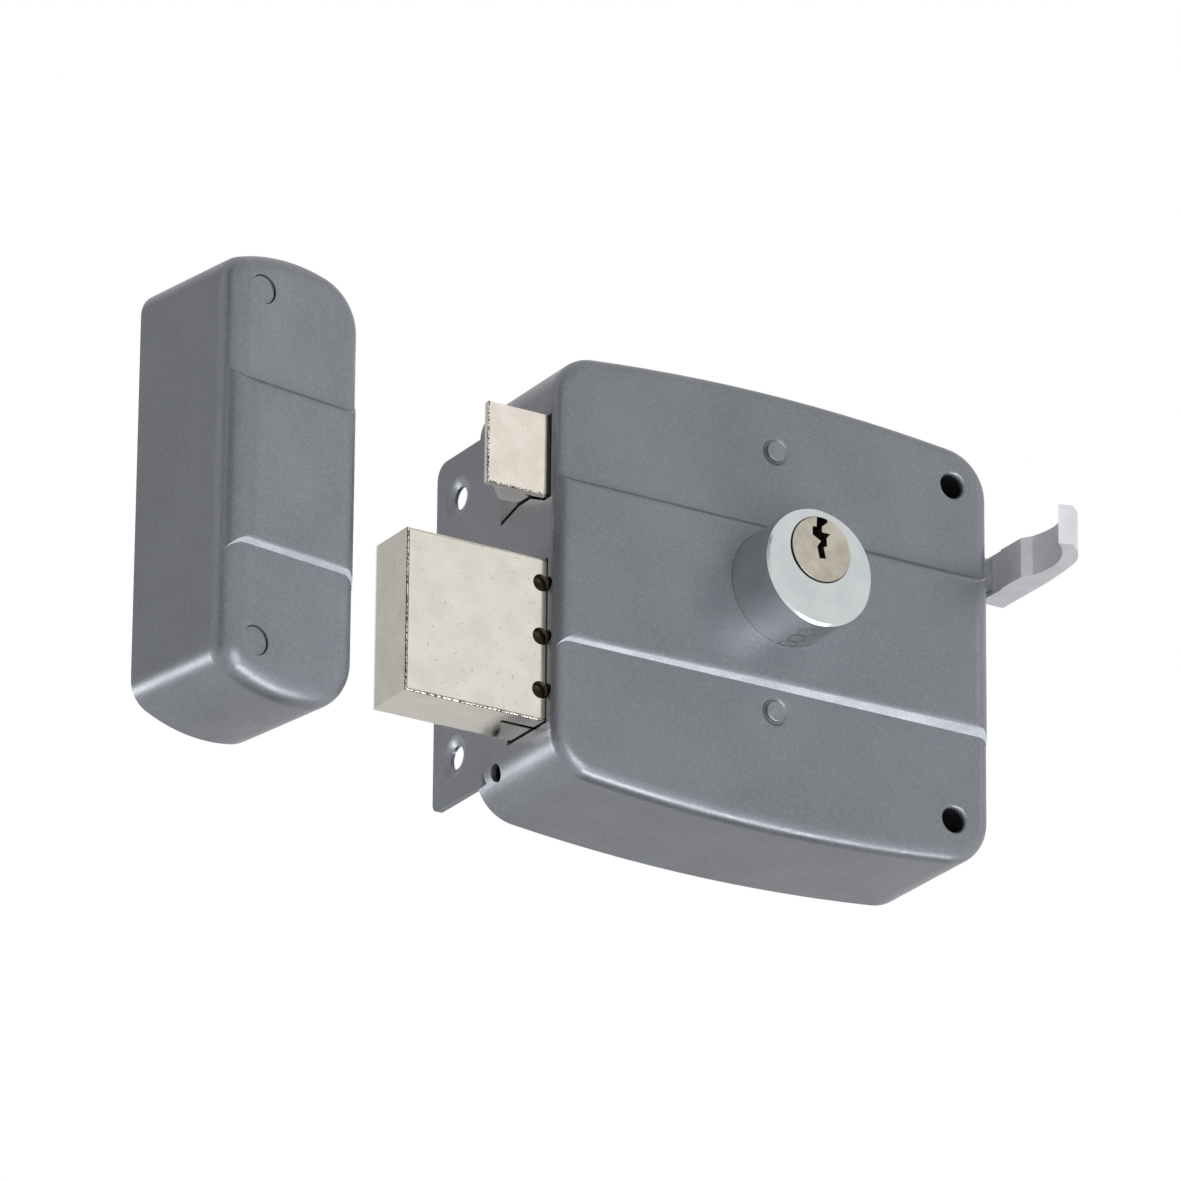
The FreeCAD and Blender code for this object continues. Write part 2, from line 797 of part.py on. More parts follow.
def make_cam():
    """Cam on the plug's tang; at rest its nose points up, away from the tail plate."""
    hub = rod_y(cam_hub_radius, cylinder_x, plug_z, cam_front, cam_rear)
    half = cam_nose_width / 2
    nose = box(cylinder_x - half, cylinder_x + half, cam_front, cam_rear, plug_z, plug_z + cam_reach)
    tip = rod_y(cam_reach, cylinder_x, plug_z, cam_front, cam_rear)
    cam = joined([hub, nose.common(tip)])
    hole = rod_y(tang_radius + cam_fit, cylinder_x, plug_z, cam_front - 1, cam_rear + 1)
    half_flat = tang_half_width + cam_fit
    flat = box(
        cylinder_x - half_flat, cylinder_x + half_flat, cam_front - 1, cam_rear + 1,
        plug_z - 2 * tang_radius, plug_z + 2 * tang_radius,
    )
    return cam.cut(hole.common(flat))


def make_cam_circlip():
    """Snap ring in the tang's groove that keeps the cam on."""
    front = cam_rear + circlip_gap
    rear = front + circlip_thickness
    ring = rod_y(circlip_radius, cylinder_x, plug_z, front, rear)
    ring = ring.cut(rod_y(tang_half_width + cam_fit, cylinder_x, plug_z, front - 1, rear + 1))
    low = plug_z - 2 * circlip_radius
    return ring.cut(box(
        cylinder_x - circlip_mouth_half, cylinder_x + circlip_mouth_half, front - 1, rear + 1, low, plug_z,
    ))


def make_cylinder_bracket():
    """Bracket welded behind the front that carries the cylinder from its rear."""
    left = cylinder_x - bracket_half_width
    right = cylinder_x + bracket_half_width
    low = plug_z - bracket_half_height
    high = plug_z + bracket_half_height
    web = box(left, right, cylinder_rear, bracket_rear, low, high)
    legs = [
        box(left, left + bracket_sheet, inner_front, bracket_rear, low, high),
        box(right - bracket_sheet, right, inner_front, bracket_rear, low, high),
    ]
    feet = [
        box(left - bracket_foot, left + bracket_sheet, inner_front, inner_front + bracket_sheet, low, high),
        box(right - bracket_sheet, right + bracket_foot, inner_front, inner_front + bracket_sheet, low, high),
    ]
    bracket = joined([web] + legs + feet)
    bracket = bracket.cut(
        rod_y(hub_radius + pin_gap, cylinder_x, plug_z, cylinder_rear - 1, bracket_rear + 1)
    )
    for side in (-1, 1):
        x = cylinder_x + side * cylinder_screw_offset
        bracket = bracket.cut(
            rod_y(cylinder_screw_radius + plug_fit, x, cylinder_z, cylinder_rear - 1, bracket_rear + 1)
        )
        bracket = bracket.cut(
            cone_y(
                cylinder_screw_radius, cylinder_screw_head + plug_fit, x, cylinder_z, cylinder_rear, bracket_rear
            )
        )
    return bracket


def make_cylinder_screws():
    """Two countersunk screws from the bracket into the cylinder's rear."""
    screws = []
    for side in (-1, 1):
        x = cylinder_x + side * cylinder_screw_offset
        head = cone_y(
            cylinder_screw_radius, cylinder_screw_head, x, cylinder_z, cylinder_rear, bracket_rear
        )
        tip = cylinder_rear - cylinder_screw_length + 1
        shank = rod_y(cylinder_screw_radius - plug_fit, x, cylinder_z, tip, cylinder_rear)
        screws.append(joined([head, shank]))
    return screws


def deadbolt_block(inset):
    """Outer shape of the deadbolt's head, drawn in by an inset: its rear edges are rounded."""
    size = (
        -deadbolt_throw + inset, deadbolt_inside, deadbolt_front + inset, deadbolt_rear - inset,
        deadbolt_bottom + inset, deadbolt_top - inset,
    )
    behind = deadbolt_rear - inset - 1e-3
    plan = box(*size)
    end_edges = edges_along(plan, Z_AXIS, lambda p: p.x < 0 and p.y > behind)
    plan = plan.makeFillet(deadbolt_end_round - inset, end_edges)
    side = box(*size)
    side_edges = edges_along(side, X_AXIS, lambda p: p.y > behind)
    side = side.makeFillet(deadbolt_side_round - inset, side_edges)
    return plan.common(side)


def seam_lines():
    """Fine seams in the front of the jacket, where its front sheet meets end, top and underside."""
    start = -deadbolt_throw + seam_inset
    low = deadbolt_bottom + seam_inset
    high = deadbolt_top - seam_inset
    depth = deadbolt_front + seam_depth
    end = deadbolt_inside + 1
    return joined([
        box(start, start + seam_width, deadbolt_front - 1, depth, low, high),
        box(start, end, deadbolt_front - 1, depth, low, low + seam_width),
        box(start, end, deadbolt_front - 1, depth, high - seam_width, high),
    ])


def make_deadbolt_jacket():
    """Folded nickel-plated jacket of the deadbolt, with its notches and its slit."""
    outer = deadbolt_block(0)
    rounded = [
        e for e in outer.Edges
        if e.BoundBox.YMax < deadbolt_front + 1e-3 and e.BoundBox.XMin < deadbolt_inside - 1e-3
    ]
    outer = outer.makeFillet(deadbolt_edge, rounded)
    jacket = outer.cut(deadbolt_block(deadbolt_jacket_sheet))
    for z in notch_heights():
        jacket = jacket.cut(
            rod_y(notch_radius, -notch_from_wall, z, deadbolt_front - 1, deadbolt_front + notch_depth)
        )
    jacket = jacket.cut(seam_lines())
    slit_y = deadbolt_front + slit_behind_front
    slit = box(
        -slit_length, deadbolt_inside + 1, slit_y - slit_width / 2, slit_y + slit_width / 2,
        deadbolt_bottom - 1, deadbolt_bottom + 2 * deadbolt_jacket_sheet,
    )
    return jacket.cut(slit)


def hard_pin_places():
    """Y and Z of the hardened pins inside the deadbolt."""
    inner_top = deadbolt_top - deadbolt_jacket_sheet
    inner_bottom = deadbolt_bottom + deadbolt_jacket_sheet
    y = deadbolt_front + deadbolt_jacket_sheet + hard_pin_radius + hard_pin_end_gap
    spread = hard_pin_radius + hard_pin_end_gap
    return [(y, inner_top - spread), (y, inner_bottom + spread)]


def tail_tongue_place():
    """Lowest and highest height of the tail's tongue inside the deadbolt."""
    return deadbolt_bottom + tail_tongue_inset, deadbolt_top - tail_tongue_inset


def tail_rivet_places():
    """X and Z of the rivets through deadbolt and tail."""
    x = -tail_rivet_from_end
    return [(x, deadbolt_middle_z + side * tail_rivet_spacing / 2) for side in (1, -1)]


def make_deadbolt_core():
    """Steel block inside the jacket, bored for the hardened pins and slotted for the tail."""
    core = deadbolt_block(deadbolt_jacket_sheet + jacket_fit)
    pin_start = -deadbolt_throw + deadbolt_jacket_sheet + hard_pin_end_gap
    for y, z in hard_pin_places():
        core = core.cut(
            rod(hard_pin_radius + jacket_fit, (pin_start, y, z), X_AXIS, deadbolt_throw + deadbolt_inside)
        )
    for z in notch_heights():
        core = core.cut(
            rod_y(notch_radius, -notch_from_wall, z, deadbolt_front, deadbolt_front + notch_depth)
        )
    low, high = tail_tongue_place()
    core = core.cut(box(
        -tail_tongue, deadbolt_inside + 1, cam_front - jacket_fit, cam_rear + jacket_fit,
        low - jacket_fit, high + jacket_fit,
    ))
    for x, z in tail_rivet_places():
        core = core.cut(rod_y(tail_rivet_radius + jacket_fit, x, z, deadbolt_front, deadbolt_rear))
    return core


def make_deadbolt_pins():
    """Hardened pins that stop the deadbolt from being sawn."""
    start = -deadbolt_throw + deadbolt_jacket_sheet + hard_pin_end_gap
    length = -notch_from_wall - notch_radius - hard_pin_end_gap - start
    return [rod(hard_pin_radius, (start, y, z), X_AXIS, length) for y, z in hard_pin_places()]


def tooth_notch_centres():
    """X of the two notches in the tail's top edge that the cam's nose works in."""
    step = deadbolt_travel / plug_turns
    return [cylinder_x - (turn + 0.5) * step for turn in range(int(plug_turns))]


def make_deadbolt_tail():
    """Tail plate: tongue in the deadbolt, guide slot round the lower post, drive and detent notches."""
    low, high = tail_tongue_place()
    outline = [
        (-tail_tongue + jacket_fit, low), (deadbolt_inside + jacket_fit, low),
        (deadbolt_inside + jacket_fit, tail_bottom), (tail_end, tail_bottom),
        (tail_end, tail_top), (deadbolt_inside + jacket_fit, tail_top),
        (deadbolt_inside + jacket_fit, high), (-tail_tongue + jacket_fit, high),
    ]
    tail = plate_y(outline, cam_front, cam_rear)
    slot_radius = post_radius + tail_slot_gap
    tail = tail.cut(slotted_y(
        post_x - deadbolt_travel, post_x, lower_post_z, slot_radius, cam_front - 1, cam_rear + 1,
    ))
    for x in tooth_notch_centres():
        tail = tail.cut(box(
            x - tooth_notch_width / 2, x + tooth_notch_width / 2, cam_front - 1, cam_rear + 1,
            tail_top - tooth_notch_depth, tail_top + 1,
        ))
    for x in (leaf_nose_x, leaf_nose_x - deadbolt_travel):
        tail = tail.cut(
            rod_y(leaf_notch_radius, x, tail_bottom - leaf_notch_radius / 2, cam_front - 1, cam_rear + 1)
        )
    for x, z in tail_rivet_places():
        tail = tail.cut(rod_y(tail_rivet_radius + jacket_fit, x, z, cam_front - 1, cam_rear + 1))
    return tail


def make_tail_rivets():
    """Rivets through the deadbolt's core and the tail's tongue."""
    front = deadbolt_front + deadbolt_jacket_sheet + jacket_fit
    rear = deadbolt_rear - deadbolt_jacket_sheet - jacket_fit
    return [rod_y(tail_rivet_radius, x, z, front, rear) for x, z in tail_rivet_places()]


def leaf_level():
    """Height of the upper face of the leaf spring's straight part."""
    return tail_bottom - leaf_drop


def leaf_middle_y():
    """Depth of the middle of the leaf spring, under the tail plate."""
    return (cam_front + cam_rear) / 2


def make_detent_leaf():
    """Leaf spring whose bent nose stands under the tail plate's detent notch."""
    crest = tail_bottom - leaf_gap
    nose = leaf_nose_radius
    end = leaf_nose_x + leaf_length
    level = leaf_level()
    upper = [
        (end, level), (leaf_nose_x + 6 * nose, level), (leaf_nose_x + nose, crest), (leaf_nose_x - nose, crest),
    ]
    tail_off = [
        (leaf_nose_x - 3 * nose, crest - 2 * leaf_sheet), (leaf_nose_x - 3 * nose, crest - 3 * leaf_sheet),
    ]
    lower = [
        (leaf_nose_x - nose, crest - leaf_sheet), (leaf_nose_x + nose, crest - leaf_sheet),
        (leaf_nose_x + 6 * nose, level - leaf_sheet), (end, level - leaf_sheet),
    ]
    half = leaf_width / 2
    leaf = plate_y(upper + tail_off + lower, leaf_middle_y() - half, leaf_middle_y() + half)
    x = end - leaf_block_width / 2
    return leaf.cut(rod(leaf_screw_radius + plug_fit, (x, leaf_middle_y(), level - 2), Z_AXIS, 3))


def make_detent_block():
    """Block on the back plate that carries the leaf spring."""
    end = leaf_nose_x + leaf_length
    top = leaf_level() - leaf_sheet
    half = leaf_width / 2
    block = box(
        end - leaf_block_width, end, leaf_middle_y() - half, back_inner, top - leaf_block_height, top,
    )
    x = end - leaf_block_width / 2
    return block.cut(
        rod(leaf_screw_radius, (x, leaf_middle_y(), top - leaf_block_height + 1), Z_AXIS, leaf_block_height)
    )


def make_detent_screw():
    """Screw that clamps the leaf spring on its block."""
    x = leaf_nose_x + leaf_length - leaf_block_width / 2
    top = leaf_level()
    length = leaf_block_height - 2 + leaf_sheet
    shank = rod(leaf_screw_radius - plug_fit, (x, leaf_middle_y(), top - length), Z_AXIS, length)
    head = rod(leaf_screw_head_radius, (x, leaf_middle_y(), top), Z_AXIS, leaf_screw_head_height)
    return joined([shank, head])


def make_bolt_rails():
    """Two rails on the back plate, one above and one below the deadbolt."""
    front = deadbolt_front + rail_front_gap
    upper = deadbolt_top + rail_gap
    lower = deadbolt_bottom - rail_gap
    return [
        box(rail_start, rail_end, front, back_inner, upper, upper + rail_sheet),
        box(rail_start, rail_end, front, back_inner, lower - rail_sheet, lower),
    ]


def bar_rivet_places():
    """X and Z of the rivets through latch and bar."""
    x = latch_inside - bar_rivet_from_end
    return [(x, bar_level + side * bar_rivet_spacing / 2) for side in (1, -1)]


def make_latch_head():
    """Bevelled latch: flat towards the room, hollow bevel towards the door."""
    front = latch_front
    tip_rear = front + latch_tip
    run = Vector(latch_throw, latch_rear - tip_rear, 0)
    middle = Vector(-latch_throw, tip_rear, 0) + run * 0.5
    inward = Vector(run.y, -run.x, 0).normalize()
    hollow = middle + inward * latch_hollow
    base = latch_bottom
    corners = [
        Vector(latch_inside, latch_rear, base), Vector(latch_inside, front, base),
        Vector(-latch_throw, front, base), Vector(-latch_throw, tip_rear, base),
    ]
    bevel_end = Vector(0, latch_rear, base)
    edges = [Part.LineSegment(corners[i], corners[i + 1]).toShape() for i in range(3)]
    edges.append(Part.Arc(corners[3], Vector(hollow.x, hollow.y, base), bevel_end).toShape())
    edges.append(Part.LineSegment(bevel_end, corners[0]).toShape())
    head = Part.Face(Part.Wire(edges)).extrude(Vector(0, 0, latch_height))
    front_edges = edges_along(head, Z_AXIS, lambda p: p.x < 0 and p.y < front + 1e-3)
    head = head.makeFillet(latch_edge, front_edges)
    under = latch_underside(0)
    groove = under[1:] + [(latch_rear + 1, under[-1][1]), (latch_rear + 1, base - 1), (under[1][0], base - 1)]
    head = head.cut(plate_x(groove, -latch_throw - 1, latch_inside + 1))
    head = head.cut(box(
        latch_inside - bar_tongue, latch_inside + 1, bar_front - jacket_fit, bar_rear + jacket_fit,
        bar_bottom - jacket_fit, bar_top + jacket_fit,
    ))
    for x, z in bar_rivet_places():
        head = head.cut(rod_y(bar_rivet_radius + jacket_fit, x, z, front + latch_tip, latch_rear + 1))
    return head


def make_latch_bar():
    """Flat bar from the latch, through the pull-side wall, into the pull."""
    bar = box(
        latch_inside - bar_tongue + jacket_fit, pull_outer - pull_slot_end_gap - latch_tip,
        bar_front, bar_rear, bar_bottom, bar_top,
    )
    for x, z in bar_rivet_places():
        bar = bar.cut(rod_y(bar_rivet_radius + jacket_fit, x, z, bar_front - 1, bar_rear + 1))
    return bar.cut(pull_pin_hole(pull_pin_radius + jacket_fit))


def make_latch_rivets():
    """Rivets through the latch and its bar."""
    rear = latch_rear - latch_tip
    return [rod_y(bar_rivet_radius, x, z, latch_front + latch_tip, rear) for x, z in bar_rivet_places()]


def pull_pin_hole(radius):
    """Blind pin from the rear that locks the bar in the pull."""
    x = pull_inner + pull_pin_offset
    return rod_y(radius, x, bar_level, pull_rear - pull_pin_depth, pull_rear)


def make_pull():
    """Extruded finger pull: stem block, shoulder, hollow for the finger and hooked lip."""
    low = bar_level - pull_height / 2
    def at(inward, forward):
        """Point by its distance in from the outer face and forward from the rear."""
        return Vector(pull_outer - inward, pull_rear - forward, low)

    rear_inner = at(pull_thickness, 0)
    bend = at(0, pull_straight)
    curve = at(pull_curve_in, pull_curve)
    tip_outer = at(pull_tip_in - pull_tip_half, pull_reach)
    tip_inner = at(pull_tip_in + 2 * pull_tip_half, pull_reach - pull_tip_half)
    hollow = at(pull_hollow_in, pull_hollow)
    throat = at(pull_throat_in, pull_throat)
    nose = at(pull_thickness + pull_nose_out, pull_nose)
    shoulder = at(pull_thickness + pull_nose_out, pull_shoulder)
    step = at(pull_thickness, pull_shoulder)
    edges = [
        Part.LineSegment(rear_inner, at(0, 0)).toShape(),
        Part.LineSegment(at(0, 0), bend).toShape(),
        Part.Arc(bend, at(pull_back_bow_in, pull_back_bow), curve).toShape(),
        Part.Arc(curve, at(pull_tip_bow_in, pull_tip_bow), tip_outer).toShape(),
        Part.LineSegment(tip_outer, tip_inner).toShape(),
        Part.Arc(tip_inner, at(pull_lip_bow_in, pull_lip_bow), hollow).toShape(),
        Part.Arc(hollow, at(pull_hollow_bow_in, (pull_hollow + pull_throat) / 2), throat).toShape(),
        Part.LineSegment(throat, nose).toShape(),
        Part.LineSegment(nose, shoulder).toShape(),
        Part.LineSegment(shoulder, step).toShape(),
        Part.LineSegment(step, rear_inner).toShape(),
    ]
    pull = Part.Face(Part.Wire(edges)).extrude(Vector(0, 0, pull_height))
    pull = pull.cut(box(
        pull_inner - 1, pull_outer - latch_tip, bar_front - jacket_fit, bar_rear + jacket_fit,
        bar_bottom - jacket_fit, bar_top + jacket_fit,
    ))
    return pull.cut(pull_pin_hole(pull_pin_radius + jacket_fit))


def make_latch_guide():
    """Angle bracket on the back plate that guides the bar and stops the latch spring."""
    low = bar_level - guide_half_height
    high = bar_level + guide_half_height
    web = box(guide_x, guide_x + guide_sheet, guide_front, back_inner, low, high)
    foot = box(guide_x, guide_x + guide_foot, back_inner - guide_sheet, back_inner, low, high)
    guide = joined([web, foot])
    guide = guide.cut(box(
        guide_x - 1, guide_x + guide_sheet + 1, bar_front - bar_slot_gap, bar_rear + bar_slot_gap,
        bar_bottom - bar_slot_gap, bar_top + bar_slot_gap,
    ))
    for x, z in guide_screw_places():
        guide = guide.cut(
            rod_y(guide_screw_radius + plug_fit, x, z, back_inner - guide_sheet - 1, back_inner + 1)
        )
    guide = guide.cut(
        rod(spring_rod_radius + plug_fit, (guide_x - 1, spring_axis_y, bar_level), X_AXIS, guide_sheet + 2)
    )
    return guide


def guide_screw_places():
    """X and Z of the rivets through the guide's foot."""
    x = guide_x + guide_sheet + (guide_foot - guide_sheet) / 2
    return [(x, bar_level + side * guide_half_height / 2) for side in (1, -1)]


def make_guide_rivets():
    """Headed rivets through the guide's foot, set on the back plate."""
    rivets = []
    for x, z in guide_screw_places():
        shank = rod_y(guide_screw_radius, x, z, back_inner - guide_sheet, back_inner)
        head = rod_y(2 * guide_screw_radius, x, z, back_inner - guide_sheet - 1, back_inner - guide_sheet)
        rivets.append(joined([shank, head]))
    return rivets


def make_spring_rod():
    """Rod on the guide that keeps the latch spring straight."""
    start = guide_x + guide_sheet - spring_rod_length
    return rod(spring_rod_radius, (start, spring_axis_y, bar_level), X_AXIS, spring_rod_length)


def make_latch_spring():
    """Compression spring between the guide and the latch."""
    start = latch_inside + spring_gap
    length = guide_x - spring_gap - start
    return coil(spring_radius, spring_wire, spring_turns, (start, spring_axis_y, bar_level), X_AXIS, length)


def strike_hole_places():
    """X and Z of the strike's two posts."""
    height = strike_half_height - strike_hole_from_ends
    return [(strike_hole_from_outer_side, height), (strike_hole_from_outer_side, -height)]


def set_strike(shape):
    """Bring a strike piece from its own frame to its place beside the lock."""
    turn = FreeCAD.Rotation(Z_AXIS, strike_turn)
    corner = Vector(strike_corner_x, strike_corner_y, 0)
    placed = shape.copy()
    placed.Placement = FreeCAD.Placement(corner - turn.multVec(Vector(0, strike_front, 0)), turn)
    return placed


def make_strike_box():
    """Drawn strike box with windows for latch and deadbolt in its near wall."""
    shell = drawn_shell(
        strike_width, strike_depth, strike_half_height, strike_camber,
        (strike_outer_corner, strike_bolt_corner), strike_edge_round, (strike_band_rise, strike_band_rise),
    )
    wall = strike_width - case_sheet - strike_edge_round
    gap = strike_window_gap
    bolts = [
        (deadbolt_front, deadbolt_rear, deadbolt_bottom, deadbolt_top),
        (latch_front, latch_rear, latch_bottom, latch_top),
    ]
    for front, rear, low, high in bolts:
        shell = shell.cut(box(
            wall, strike_width + 1, front + strike_shift - gap, rear + strike_shift + gap, low - gap, high + gap,
        ))
    for x, z in strike_hole_places():
        shell = shell.cut(
            rod_y(strike_hole_radius, x, z, strike_front - 1, strike_front + 2 * case_sheet)
        )
    return set_strike(shell)


def make_strike_plate():
    """Plate that closes the strike box at the frame side."""
    inset = case_sheet + back_gap
    plate = pressed_box(
        inset, strike_width - inset, back_inner, 0, strike_half_height - inset, strike_camber,
        strike_outer_corner - case_sheet, strike_bolt_corner - case_sheet, 0,
    )
    for x, z in strike_hole_places():
        plate = plate.cut(rod_y(strike_screw_hole, x, z, back_inner - 1, 1))
    return set_strike(plate)


def make_strike_posts():
    """Two posts in the strike; their ends close the round recesses in its front."""
    posts = []
    for x, z in strike_hole_places():
        post = rod_y(strike_post_radius, x, z, strike_front + strike_post_below_front, back_inner)
        thread = rod_y(strike_thread_radius, x, z, back_inner - strike_thread_depth, 0)
        posts.append(set_strike(post.cut(thread)))
    return posts


def export(name, shapes):
    """Write one sub-part to its own file."""
    solids = []
    for shape in shapes:
        solids.extend(shape.Solids)
    shape = solids[0] if len(solids) == 1 else Part.makeCompound(solids)
    shape.translate(Vector(-case_width / 2, 0, 0))
    if not shape.isValid():
        print("not valid:", name)
    shape.exportStep(os.path.join("parts", name + ".step"))
    print(f"{name}: {len(solids)} solid(s), {sum(s.Volume for s in solids) / 1000:.3f} cm3")


def main():
    """Build and write every sub-part."""
    os.makedirs("parts", exist_ok=True)
    export("case", [make_case()])
    export("back_plate", [make_back_plate()])
    export("back_plate_screws", make_back_screws())
    export("rivet_posts", make_rivet_posts())
    export("corner_pillars", make_corner_pillars())
    export("screw_sleeves", make_screw_sleeves())
    export("cylinder_body", [make_cylinder_body()])
    export("cylinder_bracket", [make_cylinder_bracket()])
    export("cylinder_screws", make_cylinder_screws())
    export("chamber_plugs", make_chamber_plugs())
    export("driver_pins", make_driver_pins())
    export("pin_springs", make_pin_springs())
    export("plug", [make_plug()])
    export("key_pins", make_key_pins())
    export("cam", [make_cam()])
    export("cam_circlip", [make_cam_circlip()])
    export("deadbolt_jacket", [make_deadbolt_jacket()])
    export("deadbolt_core", [make_deadbolt_core()])
    export("deadbolt_pins", make_deadbolt_pins())
    export("deadbolt_tail", [make_deadbolt_tail()])
    export("tail_rivets", make_tail_rivets())
    export("bolt_rails", make_bolt_rails())
    export("detent_leaf", [make_detent_leaf()])
    export("detent_block", [make_detent_block()])
    export("detent_screw", [make_detent_screw()])
    export("latch_head", [make_latch_head()])
    export("latch_bar", [make_latch_bar()])
    export("latch_rivets", make_latch_rivets())
    export("pull", [make_pull()])
    export("pull_pin", [pull_pin_hole(pull_pin_radius)])
    export("latch_guide", [make_latch_guide()])
    export("guide_rivets", make_guide_rivets())
    export("spring_rod", [make_spring_rod()])
    export("latch_spring", [make_latch_spring()])
    export("strike_box", [make_strike_box()])
    export("strike_plate", [make_strike_plate()])
    export("strike_posts", make_strike_posts())


main()
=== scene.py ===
"""Looks of a surface-mounted rim lock with its strike box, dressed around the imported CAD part.

Lengths are metres, in the CAD part's own frame: X runs from the bolts to the pull, -Y faces the
room, +Y goes into the door and +Z is up.  The origin is the middle of the case's back.
"""
import logging
import math
from dataclasses import dataclass, field, replace
from enum import Enum
from typing import Any, Iterable

import bmesh
import bpy
from mathutils import Matrix, Vector


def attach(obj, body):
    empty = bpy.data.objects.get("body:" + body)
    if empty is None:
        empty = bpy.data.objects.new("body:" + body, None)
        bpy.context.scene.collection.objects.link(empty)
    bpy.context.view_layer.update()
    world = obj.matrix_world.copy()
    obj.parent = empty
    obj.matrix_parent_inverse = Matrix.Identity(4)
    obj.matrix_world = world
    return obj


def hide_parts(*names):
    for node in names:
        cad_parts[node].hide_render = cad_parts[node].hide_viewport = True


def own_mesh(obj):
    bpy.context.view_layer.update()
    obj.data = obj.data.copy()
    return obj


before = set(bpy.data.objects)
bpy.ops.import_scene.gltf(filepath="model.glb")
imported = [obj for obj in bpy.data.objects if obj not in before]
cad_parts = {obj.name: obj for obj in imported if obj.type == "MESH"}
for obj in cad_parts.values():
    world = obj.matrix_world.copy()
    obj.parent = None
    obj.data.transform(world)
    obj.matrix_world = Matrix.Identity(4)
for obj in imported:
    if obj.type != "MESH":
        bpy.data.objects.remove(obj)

LOG = logging.getLogger("rim_lock")
MM = 0.001
WHITE = (1.0, 1.0, 1.0, 1.0)

# Most of a noise's values lie between these two.
NOISE_LOW = 0.35
NOISE_HIGH = 0.65


class Body(Enum):
    """Bodies of the part that new pieces ride on."""

    LOCK = "lock"


class Grain(Enum):
    """How the lines or specks of a finish lie, as a stretch of its pattern along X, Y and Z."""

    EVEN = (1.0, 1.0, 1.0)
    ALONG_X = (0.06, 1.0, 1.0)
    ALONG_Z = (1.0, 1.0, 0.06)


def linear(hex_colour: str) -> tuple[float, float, float, float]:
    """Turn an sRGB colour into linear light.

    Args:
        hex_colour: Six hexadecimal digits after a hash sign.

    Returns:
        Linear red, green and blue, and full alpha.
    """
    parts = [int(hex_colour[i:i + 2], 16) / 255 for i in (1, 3, 5)]
    light = [p / 12.92 if p <= 0.04045 else ((p + 0.055) / 1.055) ** 2.4 for p in parts]
    return (light[0], light[1], light[2], 1.0)


def empty_tree(owner: bpy.types.Material | bpy.types.World) -> bpy.types.NodeTree:
    """Give a material or a world a node tree with nothing in it.

    Args:
        owner: The material or the world.

    Returns:
        Its empty tree.
    """
    owner.use_nodes = True
    owner.node_tree.nodes.clear()
    return owner.node_tree


def add_node(
    tree: bpy.types.NodeTree,
    kind: str,
    settings: dict[str, Any] | None = None,
    links: dict[Any, Any] | None = None,
) -> bpy.types.Node:
    """Add a shader node with its settings and what goes into it.

    Args:
        tree: The tree that gets the node.
        kind: Blender's identifier of the node.
        settings: Properties of the node by name.
        links: Input sockets by name or number, each with a value or another node's output.

    Returns:
        The new node.
    """
    node = tree.nodes.new(kind)
    for name, value in (settings or {}).items():
        setattr(node, name, value)
    for socket, source in (links or {}).items():
        if isinstance(source, bpy.types.NodeSocket):
            tree.links.new(source, node.inputs[socket])
        else:
            node.inputs[socket].default_value = source
    return node


